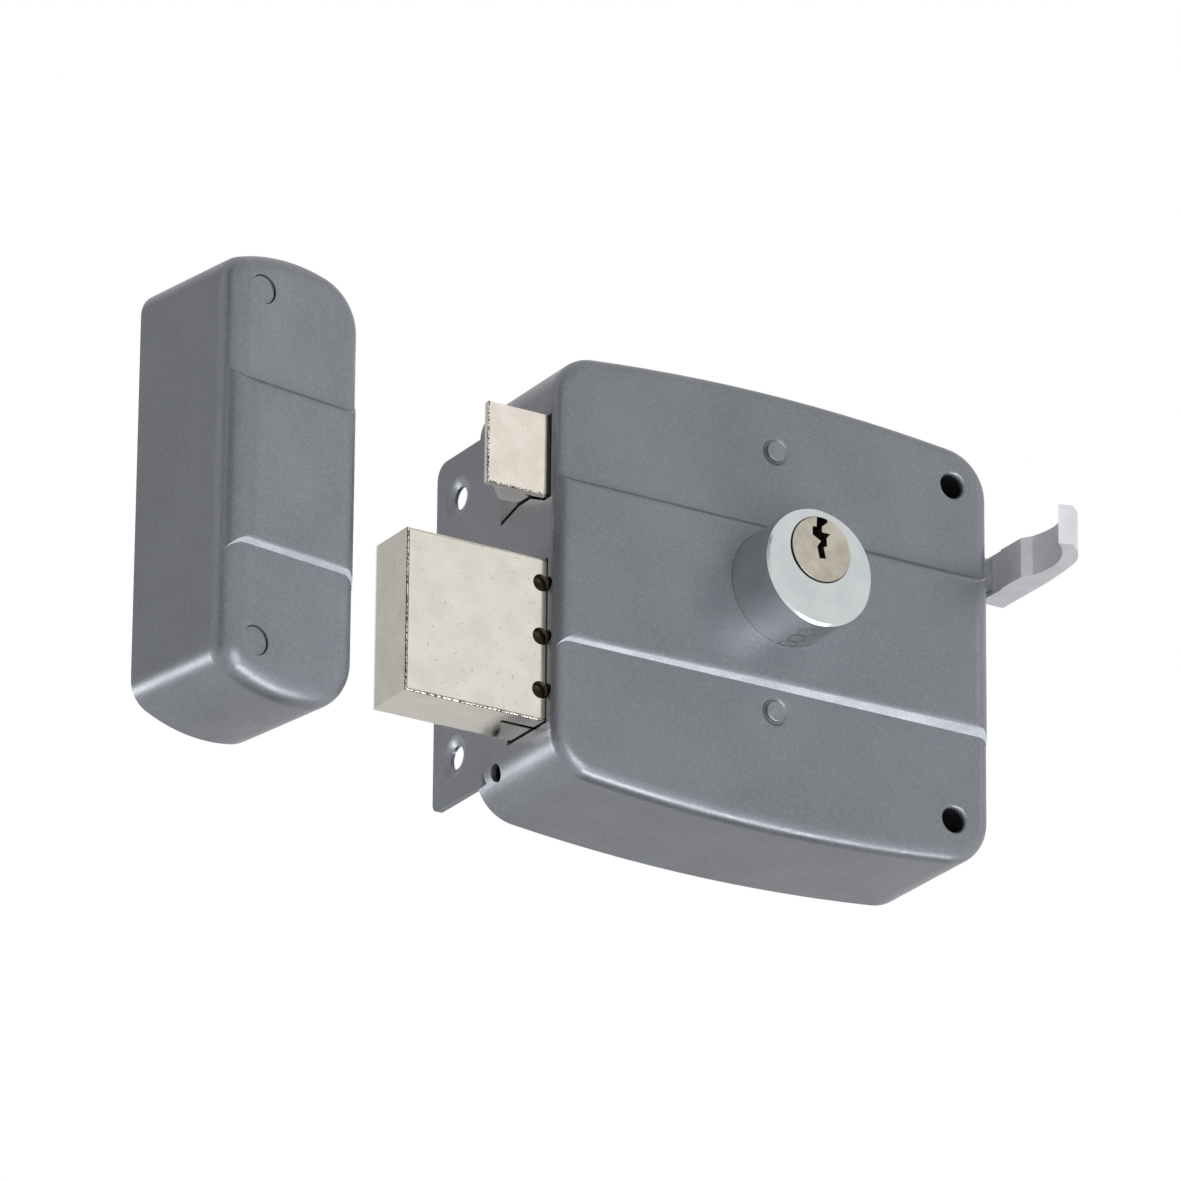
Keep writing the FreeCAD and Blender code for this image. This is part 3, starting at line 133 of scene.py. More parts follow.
@dataclass(frozen=True)
class Finish:
    """A surface: its colour with clouds, its roughness and its relief.

    Clouds are slow changes of colour, grain is the fine relief, and both have a real size in
    millimetres.  Grain that is finer than a fifth of a millimetre wouldn't show, so it is drawn
    no finer than that.
    """

    name: str
    colour: str
    cloud_colour: str
    roughness: tuple[float, float]
    metallic: float = 1.0
    cloud_mm: float = 8.0
    dull_cloud_share: float = 0.6
    grain_mm: float = 0.4
    grain_depth_mm: float = 0.01
    grain_lie: Grain = Grain.EVEN
    speck_colour: str | None = None
    speck_mm: float = 1.0
    speck_share: float = 0.3
    speck_blur: float = 0.05

    def build(self) -> bpy.types.Material:
        """Make the material.

        Returns:
            The finished material, ready for a slot.
        """
        material = bpy.data.materials.new(self.name)
        tree = empty_tree(material)
        place = add_node(tree, "ShaderNodeTexCoord").outputs["Object"]
        colour = self.clouded_colour(tree, place)
        grain = self.grain_height(tree, place)
        dull_cloud = self.cloud_height(tree, place, self.cloud_mm * self.dull_cloud_share)
        rough = add_node(
            tree, "ShaderNodeMapRange", {"clamp": True},
            {"Value": dull_cloud, "From Min": NOISE_LOW, "From Max": NOISE_HIGH,
             "To Min": self.roughness[0], "To Max": self.roughness[1]},
        ).outputs[0]
        bump = add_node(
            tree, "ShaderNodeBump", None,
            {"Strength": 1.0, "Distance": self.grain_depth_mm * MM, "Height": grain},
        ).outputs[0]
        shader = add_node(
            tree, "ShaderNodeBsdfPrincipled", None,
            {"Base Color": colour, "Roughness": rough, "Metallic": self.metallic, "Normal": bump},
        )
        add_node(tree, "ShaderNodeOutputMaterial", None, {"Surface": shader.outputs[0]})
        return material

    def cloud_height(
        self, tree: bpy.types.NodeTree, place: bpy.types.NodeSocket, size_mm: float
    ) -> bpy.types.NodeSocket:
        """Slow noise of a real size, from 0 to 1.

        Args:
            tree: The material's tree.
            place: Coordinates in metres.
            size_mm: Width of one cloud.

        Returns:
            The noise's value.
        """
        return add_node(
            tree, "ShaderNodeTexNoise", None,
            {"Vector": place, "Scale": 1 / (size_mm * MM), "Detail": 3.0, "Roughness": 0.55},
        ).outputs[0]

    def clouded_colour(
        self, tree: bpy.types.NodeTree, place: bpy.types.NodeSocket
    ) -> bpy.types.NodeSocket:
        """Base colour with its clouds and specks.

        Args:
            tree: The material's tree.
            place: Coordinates in metres.

        Returns:
            The colour.
        """
        share = add_node(
            tree, "ShaderNodeMapRange", {"clamp": True},
            {"Value": self.cloud_height(tree, place, self.cloud_mm),
             "From Min": NOISE_LOW, "From Max": NOISE_HIGH},
        ).outputs[0]
        colour = add_node(
            tree, "ShaderNodeMix", {"data_type": "RGBA"},
            {0: share, 6: linear(self.colour), 7: linear(self.cloud_colour)},
        ).outputs[2]
        if self.speck_colour is None:
            return colour
        bare = 1 - self.speck_share
        specks = add_node(
            tree, "ShaderNodeMapRange", {"clamp": True},
            {"Value": self.cloud_height(tree, place, self.speck_mm),
             "From Min": bare, "From Max": bare + self.speck_blur},
        ).outputs[0]
        return add_node(
            tree, "ShaderNodeMix", {"data_type": "RGBA"},
            {0: specks, 6: colour, 7: linear(self.speck_colour)},
        ).outputs[2]

    def grain_height(
        self, tree: bpy.types.NodeTree, place: bpy.types.NodeSocket
    ) -> bpy.types.NodeSocket:
        """Fine relief, stretched where it was rolled, drawn or brushed.

        Args:
            tree: The material's tree.
            place: Coordinates in metres.

        Returns:
            The relief's height from 0 to 1.
        """
        stretched = add_node(
            tree, "ShaderNodeMapping", None, {"Vector": place, "Scale": self.grain_lie.value},
        ).outputs[0]
        return self.grit_height(tree, stretched)

    def grit_height(
        self, tree: bpy.types.NodeTree, place: bpy.types.NodeSocket
    ) -> bpy.types.NodeSocket:
        """Noise as fine as the grain, over any coordinates.

        Args:
            tree: The material's tree.
            place: Coordinates in metres, stretched or bent as the grain lies.

        Returns:
            The noise's value from 0 to 1.
        """
        return add_node(
            tree, "ShaderNodeTexNoise", None,
            {"Vector": place, "Scale": 1 / (self.grain_mm * MM), "Detail": 2.0, "Roughness": 0.6},
        ).outputs[0]


@dataclass(frozen=True)
class SprayedLacquer(Finish):
    """Metallic-grey stoving lacquer: aluminium flakes under a clear skin with slight orange peel.

    Real flakes are about 0.03 mm wide.  They are drawn at 0.36 mm, so that their sparkle shows.
    """

    flake_colour: str = "#9A9DA2"
    flake_mm: float = 0.36
    flake_share: float = 0.42
    dull_flakes: float = 0.3
    peel_mm: float = 2.4
    peel_depth_mm: float = 0.012

    def clouded_colour(
        self, tree: bpy.types.NodeTree, place: bpy.types.NodeSocket
    ) -> bpy.types.NodeSocket:
        """Lacquer colour with its flakes.

        Args:
            tree: The material's tree.
            place: Coordinates in metres.

        Returns:
            The colour.
        """
        colour = super().clouded_colour(tree, place)
        flakes = add_node(
            tree, "ShaderNodeTexVoronoi", {"feature": "F1"},
            {"Vector": place, "Scale": 1 / (self.flake_mm * MM), "Randomness": 1.0},
        )
        tone = add_node(
            tree, "ShaderNodeSeparateColor", None, {0: flakes.outputs["Color"]},
        ).outputs[0]
        share = add_node(
            tree, "ShaderNodeMapRange", {"clamp": True},
            {"Value": tone, "From Min": self.dull_flakes, "From Max": 1.0,
             "To Min": 0.0, "To Max": self.flake_share},
        ).outputs[0]
        return add_node(
            tree, "ShaderNodeMix", {"data_type": "RGBA"},
            {0: share, 6: colour, 7: linear(self.flake_colour)},
        ).outputs[2]

    def grain_height(
        self, tree: bpy.types.NodeTree, place: bpy.types.NodeSocket
    ) -> bpy.types.NodeSocket:
        """Fine grit of the flakes on the slow waves of orange peel.

        Args:
            tree: The material's tree.
            place: Coordinates in metres.

        Returns:
            The relief's height.
        """
        grit = super().grain_height(tree, place)
        peel = self.cloud_height(tree, place, self.peel_mm)
        share = self.peel_depth_mm / self.grain_depth_mm
        return add_node(
            tree, "ShaderNodeMath", {"operation": "MULTIPLY_ADD"}, {0: peel, 1: share, 2: grit},
        ).outputs[0]


@dataclass(frozen=True)
class TurnedFinish(Finish):
    """Lathe-turned metal: tool rings about an axis along Y, and a dark line round the plug painted
    as the shade in its joint.
    """

    axis_x_mm: float = 1.0
    axis_z_mm: float = 4.8
    joint_z_mm: float = 9.1
    joint_radius_mm: float = 8.1
    joint_width_mm: float = 0.28
    joint_blur: float = 0.4
    joint_painted_shade_colour: str = "#2A2926"

    def off_axis(
        self, tree: bpy.types.NodeTree, place: bpy.types.NodeSocket, z_mm: float
    ) -> bpy.types.NodeSocket:
        """Distance from an axis along Y.

        Args:
            tree: The material's tree.
            place: Coordinates in metres.
            z_mm: Height of the axis.

        Returns:
            The distance in metres.
        """
        axis = (self.axis_x_mm * MM, 0.0, z_mm * MM)
        away = add_node(
            tree, "ShaderNodeVectorMath", {"operation": "SUBTRACT"}, {0: place, 1: axis},
        ).outputs[0]
        across = add_node(
            tree, "ShaderNodeVectorMath", {"operation": "MULTIPLY"}, {0: away, 1: (1.0, 0.0, 1.0)},
        ).outputs[0]
        return add_node(
            tree, "ShaderNodeVectorMath", {"operation": "LENGTH"}, {0: across},
        ).outputs["Value"]

    def clouded_colour(
        self, tree: bpy.types.NodeTree, place: bpy.types.NodeSocket
    ) -> bpy.types.NodeSocket:
        """Colour with a dark line painted round the plug as the shade in its joint.

        Args:
            tree: The material's tree.
            place: Coordinates in metres.

        Returns:
            The colour.
        """
        colour = super().clouded_colour(tree, place)
        # A dark ring: painted shade in the narrow joint between plug and body.
        radius = self.off_axis(tree, place, self.joint_z_mm)
        off_line = add_node(
            tree, "ShaderNodeMath", {"operation": "SUBTRACT"},
            {0: radius, 1: self.joint_radius_mm * MM},
        ).outputs[0]
        distance = add_node(
            tree, "ShaderNodeMath", {"operation": "ABSOLUTE"}, {0: off_line},
        ).outputs[0]
        half = self.joint_width_mm * MM / 2
        share = add_node(
            tree, "ShaderNodeMapRange", {"clamp": True},
            {"Value": distance,
             "From Min": half * (1 - self.joint_blur), "From Max": half * (1 + self.joint_blur),
             "To Min": 1.0, "To Max": 0.0},
        ).outputs[0]
        return add_node(
            tree, "ShaderNodeMix", {"data_type": "RGBA"},
            {0: share, 6: colour, 7: linear(self.joint_painted_shade_colour)},
        ).outputs[2]

    def grain_height(
        self, tree: bpy.types.NodeTree, place: bpy.types.NodeSocket
    ) -> bpy.types.NodeSocket:
        """Rings that follow the distance from the axis and the depth along it.

        Args:
            tree: The material's tree.
            place: Coordinates in metres.

        Returns:
            The relief's height from 0 to 1.
        """
        radius = self.off_axis(tree, place, self.axis_z_mm)
        depth = add_node(tree, "ShaderNodeSeparateXYZ", None, {0: place}).outputs[1]
        ring = add_node(tree, "ShaderNodeCombineXYZ", None, {0: radius, 1: depth}).outputs[0]
        return self.grit_height(tree, ring)


@dataclass(frozen=True)
class PlatedBlock(Finish):
    """Plated block whose plating is thin along its front edges, where brown steel shows in dots."""

    end_m: float = 0.0
    front_m: float = 0.0
    low_m: float = 0.0
    edge_mm: float = 0.42
    dot_mm: float = 0.5
    dot_range: tuple[float, float] = (0.47, 0.56)
    edge_colour: str = "#4A4034"

    def clouded_colour(
        self, tree: bpy.types.NodeTree, place: bpy.types.NodeSocket
    ) -> bpy.types.NodeSocket:
        """Plating with its dotted edges.

        Args:
            tree: The material's tree.
            place: Coordinates in metres.

        Returns:
            The colour.
        """
        colour = super().clouded_colour(tree, place)
        split = add_node(tree, "ShaderNodeSeparateXYZ", None, {0: place})
        off_end, off_front, off_low = (
            self.off_plane(tree, split.outputs[i], level)
            for i, level in enumerate((self.end_m, self.front_m, self.low_m))
        )
        nearest = add_node(
            tree, "ShaderNodeMath", {"operation": "MINIMUM"}, {0: off_end, 1: off_low},
        ).outputs[0]
        off_edge = add_node(
            tree, "ShaderNodeMath", {"operation": "MAXIMUM"}, {0: nearest, 1: off_front},
        ).outputs[0]
        on_edge = add_node(
            tree, "ShaderNodeMath", {"operation": "LESS_THAN"},
            {0: off_edge, 1: self.edge_mm * MM},
        ).outputs[0]
        dots = add_node(
            tree, "ShaderNodeMapRange", {"clamp": True},
            {"Value": self.cloud_height(tree, place, self.dot_mm),
             "From Min": self.dot_range[0], "From Max": self.dot_range[1]},
        ).outputs[0]
        share = add_node(
            tree, "ShaderNodeMath", {"operation": "MULTIPLY"}, {0: on_edge, 1: dots},
        ).outputs[0]
        return add_node(
            tree, "ShaderNodeMix", {"data_type": "RGBA"},
            {0: share, 6: colour, 7: linear(self.edge_colour)},
        ).outputs[2]

    def off_plane(
        self, tree: bpy.types.NodeTree, position: bpy.types.NodeSocket, level: float
    ) -> bpy.types.NodeSocket:
        """Distance of a coordinate from a plane of the block.

        Args:
            tree: The material's tree.
            position: The coordinate in metres.
            level: The plane's coordinate in metres.

        Returns:
            The distance in metres.
        """
        off = add_node(
            tree, "ShaderNodeMath", {"operation": "SUBTRACT"}, {0: position, 1: level},
        ).outputs[0]
        return add_node(tree, "ShaderNodeMath", {"operation": "ABSOLUTE"}, {0: off}).outputs[0]

    def fitted(self, node: str) -> "PlatedBlock":
        """The same finish with its edges laid on a CAD node's own corners.

        Args:
            node: Name of the node.

        Returns:
            The fitted finish.
        """
        corners = [Vector(corner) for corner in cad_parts[node].bound_box]
        end, front, low = (min(corner[axis] for corner in corners) for axis in range(3))
        return replace(self, end_m=end, front_m=front, low_m=low)


class FinishRoom:
    """Makes each finish once and puts it on CAD nodes and on new pieces."""

    def __init__(self) -> None:
        """Start with no finish made."""
        self.made: dict[str, bpy.types.Material] = {}

    def material(self, finish: Finish) -> bpy.types.Material:
        """Material of a finish, made at its first use."""
        if finish.name not in self.made:
            self.made[finish.name] = finish.build()
        return self.made[finish.name]

    def dress_nodes(self, nodes: Iterable[str], finish: Finish) -> None:
        """Put a finish on CAD nodes.

        Args:
            nodes: Names of the nodes.
            finish: The finish they get.
        """
        for name in nodes:
            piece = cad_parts[name]
            for place in piece.material_slots:
                place.material = self.material(finish)
            LOG.info("%s: %s", name, finish.name)

    def dress_piece(
        self, piece: bpy.types.Object, finish: Finish, slot: str, body: Body
    ) -> None:
        """Put a finish on a new piece and let it ride.

        Args:
            piece: The new piece.
            finish: The finish it gets.
            slot: The record's material slot that it belongs to; not used.
            body: The body that it moves with.
        """
        piece.data.materials.clear()
        piece.data.materials.append(self.material(finish))
        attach(piece, body.value)
        LOG.info("%s: %s, rides on %s", piece.name, finish.name, body.value)


# Stoving lacquer over pressed steel: mid grey, a sandy sparkle when close, soft bright edges.
LACQUER = SprayedLacquer(
    "steel_sprayed_grey_metallic_lacquer", "#7D8087", "#84878E", roughness=(0.34, 0.41),
    metallic=0.5, cloud_mm=22.0, grain_mm=0.35, grain_depth_mm=0.010,
)
# The same lacquer on the rivet heads, a shade lighter as a painted highlight on the heads, and
# mottled.
LACQUER_PAINTED_HIGHLIGHT = SprayedLacquer(
    "steel_sprayed_grey_lacquer_painted_highlight", "#8E9194", "#808386", roughness=(0.26, 0.34),
    metallic=0.6, cloud_mm=2.5, grain_mm=0.35, grain_depth_mm=0.012,
)
# Zinc-plated rolled sheet: cool and pale with faint rolling lines.
ZINC_SHEET = Finish(
    "steel_sheet_zinc_plated", "#B9BEC4", "#A9AFB6", roughness=(0.32, 0.48),
    cloud_mm=12.0, grain_mm=0.35, grain_depth_mm=0.008, grain_lie=Grain.ALONG_X,
)
# Zinc-plated turned steel: a little darker than the sheet and finely matt.
ZINC_TURNED = Finish(
    "steel_turned_zinc_plated", "#B4B8BC", "#A2A7AC", roughness=(0.28, 0.40),
    cloud_mm=3.0, grain_mm=0.2, grain_depth_mm=0.004,
)
# Tube of the screw sleeves, coloured near black and dull: painted shade deep in the screw holes, so
# that the holes look deep.
SLEEVE_PAINTED_SHADE = Finish(
    "steel_tube_painted_shade_black", "#1C1D20", "#26272B", roughness=(0.42, 0.60),
    metallic=0.2, cloud_mm=3.0, grain_mm=0.3, grain_depth_mm=0.008,
)
# Passivated screw steel: a little yellow and blotched.
SCREW_STEEL = Finish(
    "steel_screw_yellow_passivated", "#C9B98A", "#B7AE98", roughness=(0.28, 0.42),
    cloud_mm=2.0, grain_mm=0.25, grain_depth_mm=0.005,
)
# Satin chrome on turned brass: cold and bright, with rings from the lathe.  The real rings are
# about 0.05 mm apart; they are drawn at 0.22 mm so that they show.
CHROME = TurnedFinish(
    "brass_turned_satin_chrome", "#CBCFD0", "#C3C7C9", roughness=(0.18, 0.26),
    cloud_mm=9.0, grain_mm=0.22, grain_depth_mm=0.006,
)
# Nickel on the plug's face: warmer and duller than the chrome, with rings about its own axis.
PLUG_NICKEL = TurnedFinish(
    "brass_turned_nickel_plated", "#BFB9AD", "#ACA698", roughness=(0.22, 0.34),
    cloud_mm=3.5, grain_mm=0.2, grain_depth_mm=0.005, axis_z_mm=9.1,
)
# Nickel on the drawn bolt: warm white, faintly cloudy, with small dull specks.
BOLT_NICKEL = PlatedBlock(
    "steel_drawn_nickel_plated", "#DEDAD1", "#D5D1C7", roughness=(0.13, 0.20),
    cloud_mm=6.0, grain_mm=0.45, grain_depth_mm=0.006, grain_lie=Grain.ALONG_Z,
    speck_colour="#C2BAAB", speck_mm=1.1, speck_share=0.34,
)
# Nickel on the cast latch: smoother, a touch pinker, rubbed upright.
LATCH_NICKEL = PlatedBlock(
    "zinc_alloy_cast_nickel_plated", "#E7E0D6", "#DDD5CA", roughness=(0.12, 0.19),
    cloud_mm=5.0, grain_mm=0.4, grain_depth_mm=0.006, grain_lie=Grain.ALONG_Z,
    speck_colour="#C6BCAE", speck_mm=0.9, speck_share=0.34,
)
# Drawn steel of the bolt's core, bare in the bolt's notches: dark, warm and blotched, its darkness
# painted shade inside the notches.
CORE_STEEL_PAINTED_SHADE = Finish(
    "steel_drawn_dark_painted_shade", "#3E3429", "#2B241C", roughness=(0.34, 0.50),
    metallic=0.7, cloud_mm=1.6, grain_mm=0.4, grain_depth_mm=0.012,
)
# Bare turned brass of the pins: yellow and clean.
BRASS = Finish(
    "brass_turned_bare", "#C9A55C", "#B58F4A", roughness=(0.22, 0.36),
    cloud_mm=1.5, grain_mm=0.2, grain_depth_mm=0.004,
)
# Plated ends of the chamber plugs: like the cylinder but rougher from filing.
PLUG_ENDS = Finish(
    "brass_filed_chrome_plated", "#D2D4D4", "#BDC0C1", roughness=(0.26, 0.40),
    cloud_mm=1.2, grain_mm=0.25, grain_depth_mm=0.008, grain_lie=Grain.ALONG_X,
)
# Patented spring wire and leaf, drawn and oiled: dark, with a soft shine.
SPRING_STEEL = Finish(
    "steel_drawn_spring_oiled", "#6E6C69", "#5A5856", roughness=(0.25, 0.38),
    cloud_mm=2.0, grain_mm=0.2, grain_depth_mm=0.004,
)
# Hardened steel of the cam and the pins in the bolt: dark and dry.
DARK_STEEL = Finish(
    "steel_hardened_dark", "#5E5F61", "#4C4D50", roughness=(0.35, 0.50),
    cloud_mm=3.0, grain_mm=0.4, grain_depth_mm=0.01,
)
# Blanked steel strip: bright, with lines along its length.
BAR_STEEL = Finish(
    "steel_strip_blanked", "#B9BBBD", "#A6A9AB", roughness=(0.26, 0.40),
    cloud_mm=5.0, grain_mm=0.35, grain_depth_mm=0.008, grain_lie=Grain.ALONG_X,
)
# Extruded aluminium, cut to length and tumbled: very pale and evenly soft, since tumbling leaves
# nothing to mirror, with faint die lines along its height.
ALUMINIUM = Finish(
    "aluminium_extruded_tumbled", "#E4E4E7", "#DADBDE", roughness=(0.64, 0.76),
    metallic=0.9, cloud_mm=6.0, grain_mm=0.35, grain_depth_mm=0.008, grain_lie=Grain.ALONG_Z,
)


@dataclass
class LockCase:
    """Drawn case with its back plate, screws, posts and inner supports."""

    room: FinishRoom

    def dress(self) -> None:
        """Put lacquer outside and zinc inside."""
        self.room.dress_nodes(["case"], LACQUER)
        # The rivet heads get the lacquer a shade lighter: a painted highlight on them.
        self.room.dress_nodes(["rivet_posts"], LACQUER_PAINTED_HIGHLIGHT)
        sheets = ["back_plate", "cylinder_bracket", "latch_guide", "bolt_rails", "detent_block"]
        self.room.dress_nodes(sheets, ZINC_SHEET)
        self.room.dress_nodes(["corner_pillars", "spring_rod", "guide_rivets"], ZINC_TURNED)
        # The sleeves' near-black colour is painted shade inside the screw holes.
        self.room.dress_nodes(["screw_sleeves"], SLEEVE_PAINTED_SHADE)
        screws = ["back_plate_screws", "cylinder_screws", "detent_screw"]
        self.room.dress_nodes(screws, SCREW_STEEL)
        self.room.dress_nodes(["detent_leaf"], SPRING_STEEL)


@dataclass
class KeyCylinder:
    """Round cylinder with its plug, pins and cam."""

    room: FinishRoom

    def dress(self) -> None:
        """Chrome body, nickel plug and brass pins."""
        self.room.dress_nodes(["cylinder_body"], CHROME)
        self.room.dress_nodes(["plug"], PLUG_NICKEL)
        self.room.dress_nodes(["chamber_plugs"], PLUG_ENDS)
        self.room.dress_nodes(["driver_pins", "key_pins"], BRASS)
        self.room.dress_nodes(["pin_springs", "cam_circlip"], SPRING_STEEL)
        self.room.dress_nodes(["cam"], DARK_STEEL)


@dataclass
class Deadbolt:
    """Square bolt: nickel jacket over a steel core with its tail."""

    room: FinishRoom

    def dress(self) -> None:
        """Nickel outside, dark steel inside, the core's darkness being painted shade in the
        notches.
        """
        self.room.dress_nodes(["deadbolt_jacket"], BOLT_NICKEL.fitted("deadbolt_jacket"))
        self.room.dress_nodes(["deadbolt_core"], CORE_STEEL_PAINTED_SHADE)
        self.room.dress_nodes(["deadbolt_pins"], DARK_STEEL)
        self.room.dress_nodes(["deadbolt_tail", "tail_rivets"], BAR_STEEL)


@dataclass
class SpringLatch:
    """Bevelled latch with its bar, finger pull and the spring behind it."""

    room: FinishRoom
    travel: float = 15.5 * MM

    def coil_spring(self) -> bpy.types.Object:
        """Copy of the spring that closes up as the latch goes in.

        Returns:
            The new spring, in the CAD spring's place.
        """
        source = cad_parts["latch_spring"]
        spring = bpy.data.objects.new("latch_spring_coil", source.data.copy())
        bpy.context.scene.collection.objects.link(spring)
        spring.matrix_world = source.matrix_world
        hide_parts("latch_spring")
        self.room.dress_piece(spring, SPRING_STEEL, "spring_steel", Body.LOCK)
        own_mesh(spring)
        return spring

    def dress(self) -> None:
        """Nickel head, blank steel bar, pale aluminium pull and the copied spring."""
        self.room.dress_nodes(["latch_bar", "latch_rivets", "pull_pin"], BAR_STEEL)
        self.room.dress_nodes(["latch_head"], LATCH_NICKEL.fitted("latch_head"))
        self.room.dress_nodes(["pull"], ALUMINIUM)
        self.coil_spring()


@dataclass
class StrikeBox:
    """Drawn strike box with its back plate and posts."""

    room: FinishRoom

    def dress(self) -> None:
        """Lacquer outside, zinc on the plate."""
        self.room.dress_nodes(["strike_box", "strike_posts"], LACQUER)
        self.room.dress_nodes(["strike_plate"], ZINC_SHEET)


@dataclass(frozen=True)
class Lamp:
    """Soft lamp: its direction from the part, its face in metres and its brightness over white."""

    name: str
    toward: tuple[float, float, float]
    face: tuple[float, float]
    radiance: float


@dataclass(frozen=True)
class Card:
    """Card of a photographer's tent, which only shiny surfaces mirror.

    Its tone runs from 0 for black to 1 for white and over 1 for a lit card.
    """

    name: str
    toward: tuple[float, float, float]
    face: tuple[float, float]
    tone: float


LAMPS = (
    Lamp("key_lamp", (-0.08, -0.90, -0.42), (1.0, 1.0), 4.2),
    Lamp("low_lamp", (0.30, -0.41, -0.77), (1.5, 0.35), 11.0),
    Lamp("rear_left_lamp", (-0.74, 0.65, -0.18), (0.40, 0.40), 18.0),
)
CARDS = (
    Card("black_card_below", (0.40, 0.16, -0.86), (2.4, 1.6), 0.0),
    Card("black_card_left", (-0.86, -0.35, 0.38), (0.8, 2.6), 0.2),
    Card("grey_card_rear_left", (-0.60, 0.71, 0.38), (1.8, 2.0), 0.6),
    Card("grey_card_rear_low", (0.48, 0.79, -0.38), (2.0, 1.6), 0.72),
    Card("bright_card_right", (0.74, -0.57, 0.38), (0.9, 1.4), 1.5),
)


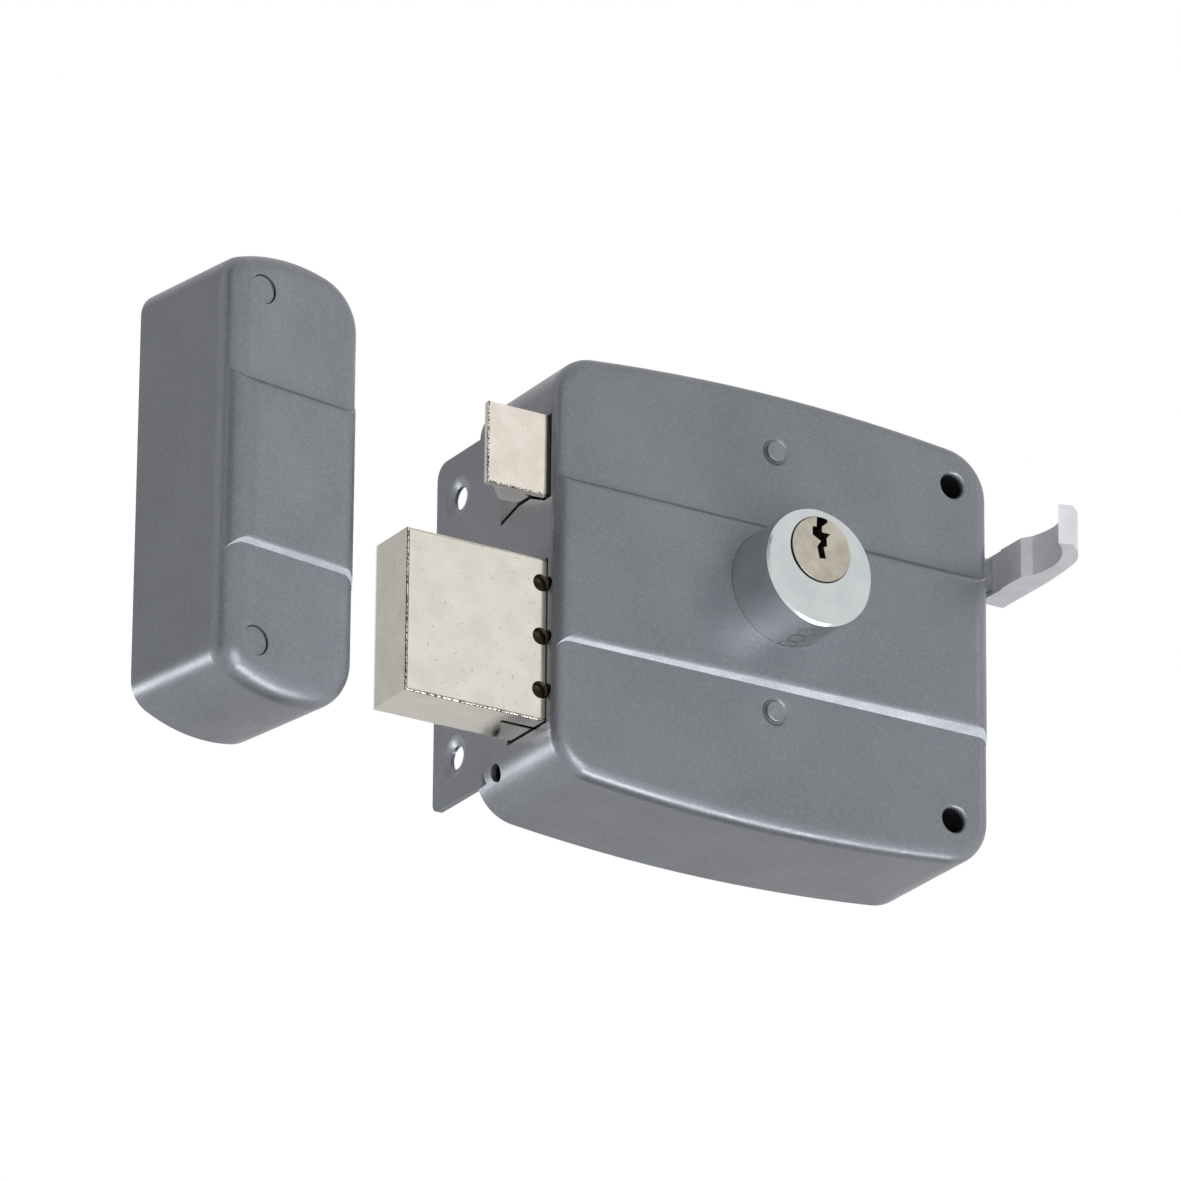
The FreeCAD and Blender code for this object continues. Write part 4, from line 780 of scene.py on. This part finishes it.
@dataclass
class Studio:
    """Camera, floor, world and lamps, none of which belongs to the part."""

    look: Vector = field(default_factory=lambda: Vector((0.0, -0.017, 0.0005)))
    azimuth: float = -31.17
    elevation: float = -22.21
    roll: float = 0.53
    distance: float = 2.35463
    aside: float = 0.03376
    lift: float = -0.00987
    lens: float = 304.83
    sensor_width: float = 36.0
    sight: tuple[float, float] = (0.05, 50.0)
    floor_level: float = -2.9
    floor_size: float = 14.0
    floor_colour: str = "#F2F2F2"
    lamp_distance: float = 1.9
    card_distance: float = 2.4
    air_colour: str = "#DCDFE3"
    air_strength: float = 0.17

    def axes(self) -> tuple[Vector, Vector, Vector]:
        """Work out how the camera is turned.

        Returns:
            Its right, up and back directions.
        """
        a, e, r = (math.radians(v) for v in (self.azimuth, self.elevation, self.roll))
        right = Vector((math.cos(a), math.sin(a), 0.0))
        back = Vector((math.sin(a) * math.cos(e), -math.cos(a) * math.cos(e), math.sin(e)))
        up = back.cross(right)
        turned_right = math.cos(r) * right + math.sin(r) * up
        turned_up = -math.sin(r) * right + math.cos(r) * up
        return turned_right, turned_up, back

    def set_camera(self) -> None:
        """Put the camera at the photograph's viewing angle."""
        right, up, back = self.axes()
        place = self.look - self.aside * right - self.lift * up + self.distance * back
        data = bpy.data.cameras.new("camera")
        data.lens = self.lens
        data.sensor_width = self.sensor_width
        data.clip_start, data.clip_end = self.sight
        camera = bpy.data.objects.new("camera", data)
        bpy.context.scene.collection.objects.link(camera)
        turn = Matrix((right, up, back)).transposed()
        camera.matrix_world = Matrix.Translation(place) @ turn.to_4x4()
        bpy.context.scene.camera = camera

    def add_rectangle(
        self, name: str, coat: str, face: tuple[float, float], place: Matrix
    ) -> tuple[bpy.types.Object, bpy.types.NodeTree]:
        """Add a flat rectangle that isn't part of the lock, with a material still to fill.

        Args:
            name: Name of the rectangle.
            coat: Name of its material.
            face: Width and height in metres.
            place: Where its middle is and how it is turned.

        Returns:
            The rectangle and its material's empty tree.
        """
        work = bmesh.new()
        corners = [(-0.5, -0.5), (0.5, -0.5), (0.5, 0.5), (-0.5, 0.5)]
        work.faces.new([work.verts.new((x * face[0], y * face[1], 0.0)) for x, y in corners])
        mesh = bpy.data.meshes.new(name)
        work.to_mesh(mesh)
        work.free()
        sheet = bpy.data.objects.new(name, mesh)
        sheet.matrix_world = place
        bpy.context.scene.collection.objects.link(sheet)
        material = bpy.data.materials.new(coat)
        mesh.materials.append(material)
        return sheet, empty_tree(material)

    def set_floor(self) -> None:
        """Lay a plain pale floor well below the part and the camera."""
        place = Matrix.Translation((0.0, 0.0, self.floor_level))
        face = (self.floor_size, self.floor_size)
        floor, tree = self.add_rectangle("floor", "floor_matt_white", face, place)
        paint = add_node(
            tree, "ShaderNodeBsdfDiffuse", None, {"Color": linear(self.floor_colour)},
        )
        glow = add_node(tree, "ShaderNodeEmission", None, {"Color": WHITE, "Strength": 1.0})
        mixed = add_node(
            tree, "ShaderNodeMixShader", None,
            {0: self.seen_directly(tree), 1: paint.outputs[0], 2: glow.outputs[0]},
        )
        add_node(tree, "ShaderNodeOutputMaterial", None, {"Surface": mixed.outputs[0]})

    def seen_directly(self, tree: bpy.types.NodeTree) -> bpy.types.NodeSocket:
        """One for rays from the camera, off gloss or through glass, else zero.

        Args:
            tree: The tree that gets the nodes.

        Returns:
            The factor.
        """
        path = add_node(tree, "ShaderNodeLightPath")
        seen = path.outputs["Is Camera Ray"]
        for kind in ("Is Glossy Ray", "Is Transmission Ray"):
            seen = add_node(
                tree, "ShaderNodeMath", {"operation": "ADD", "use_clamp": True},
                {0: seen, 1: path.outputs[kind]},
            ).outputs[0]
        return seen

    def set_world(self) -> None:
        """White behind the part, soft grey studio all round it."""
        world = bpy.data.worlds.new("studio")
        bpy.context.scene.world = world
        tree = empty_tree(world)
        white = add_node(tree, "ShaderNodeBackground", None, {"Color": WHITE, "Strength": 1.0})
        soft = add_node(
            tree, "ShaderNodeBackground", None,
            {"Color": linear(self.air_colour), "Strength": self.air_strength},
        )
        mixed = add_node(
            tree, "ShaderNodeMixShader", None,
            {0: self.seen_directly(tree), 1: soft.outputs[0], 2: white.outputs[0]},
        )
        add_node(tree, "ShaderNodeOutputWorld", None, {"Surface": mixed.outputs[0]})

    def hang_lamp(self, lamp: Lamp) -> None:
        """Hang one soft lamp that faces the part.

        Args:
            lamp: The lamp.
        """
        width, height = lamp.face
        data = bpy.data.lights.new(lamp.name, "AREA")
        data.shape = "RECTANGLE"
        data.size, data.size_y = width, height
        data.energy = lamp.radiance * math.pi * width * height
        hung = bpy.data.objects.new(lamp.name, data)
        bpy.context.scene.collection.objects.link(hung)
        direction = Vector(lamp.toward).normalized()
        hung.location = self.look + self.lamp_distance * direction
        hung.rotation_euler = (-direction).to_track_quat("-Z", "Y").to_euler()

    def hang_card(self, card: Card) -> None:
        """Hang one card that faces the part.

        Args:
            card: The card.
        """
        direction = Vector(card.toward).normalized()
        turn = (-direction).to_track_quat("-Z", "Y").to_matrix().to_4x4()
        place = Matrix.Translation(self.look + self.card_distance * direction) @ turn
        hung, tree = self.add_rectangle(card.name, card.name, card.face, place)
        mirrored = add_node(tree, "ShaderNodeLightPath").outputs["Is Glossy Ray"]
        clear = add_node(tree, "ShaderNodeBsdfTransparent")
        tone = add_node(
            tree, "ShaderNodeEmission", None,
            {"Color": (card.tone, card.tone, card.tone, 1.0), "Strength": 1.0},
        )
        mixed = add_node(
            tree, "ShaderNodeMixShader", None,
            {0: mirrored, 1: clear.outputs[0], 2: tone.outputs[0]},
        )
        add_node(tree, "ShaderNodeOutputMaterial", None, {"Surface": mixed.outputs[0]})

    def build(self) -> None:
        """Set up the whole studio."""
        self.set_camera()
        self.set_floor()
        self.set_world()
        for lamp in LAMPS:
            self.hang_lamp(lamp)
        for card in CARDS:
            self.hang_card(card)
        bpy.context.scene.view_settings.view_transform = "Standard"


def main() -> None:
    """Dress the part, piece by piece, and set up the studio."""
    logging.basicConfig(level=logging.INFO, format="%(name)s: %(message)s")
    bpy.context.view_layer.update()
    room = FinishRoom()
    for assembly in (LockCase, KeyCylinder, Deadbolt, SpringLatch, StrikeBox):
        assembly(room).dress()
    Studio().build()


if __name__ == "__main__":
    main()
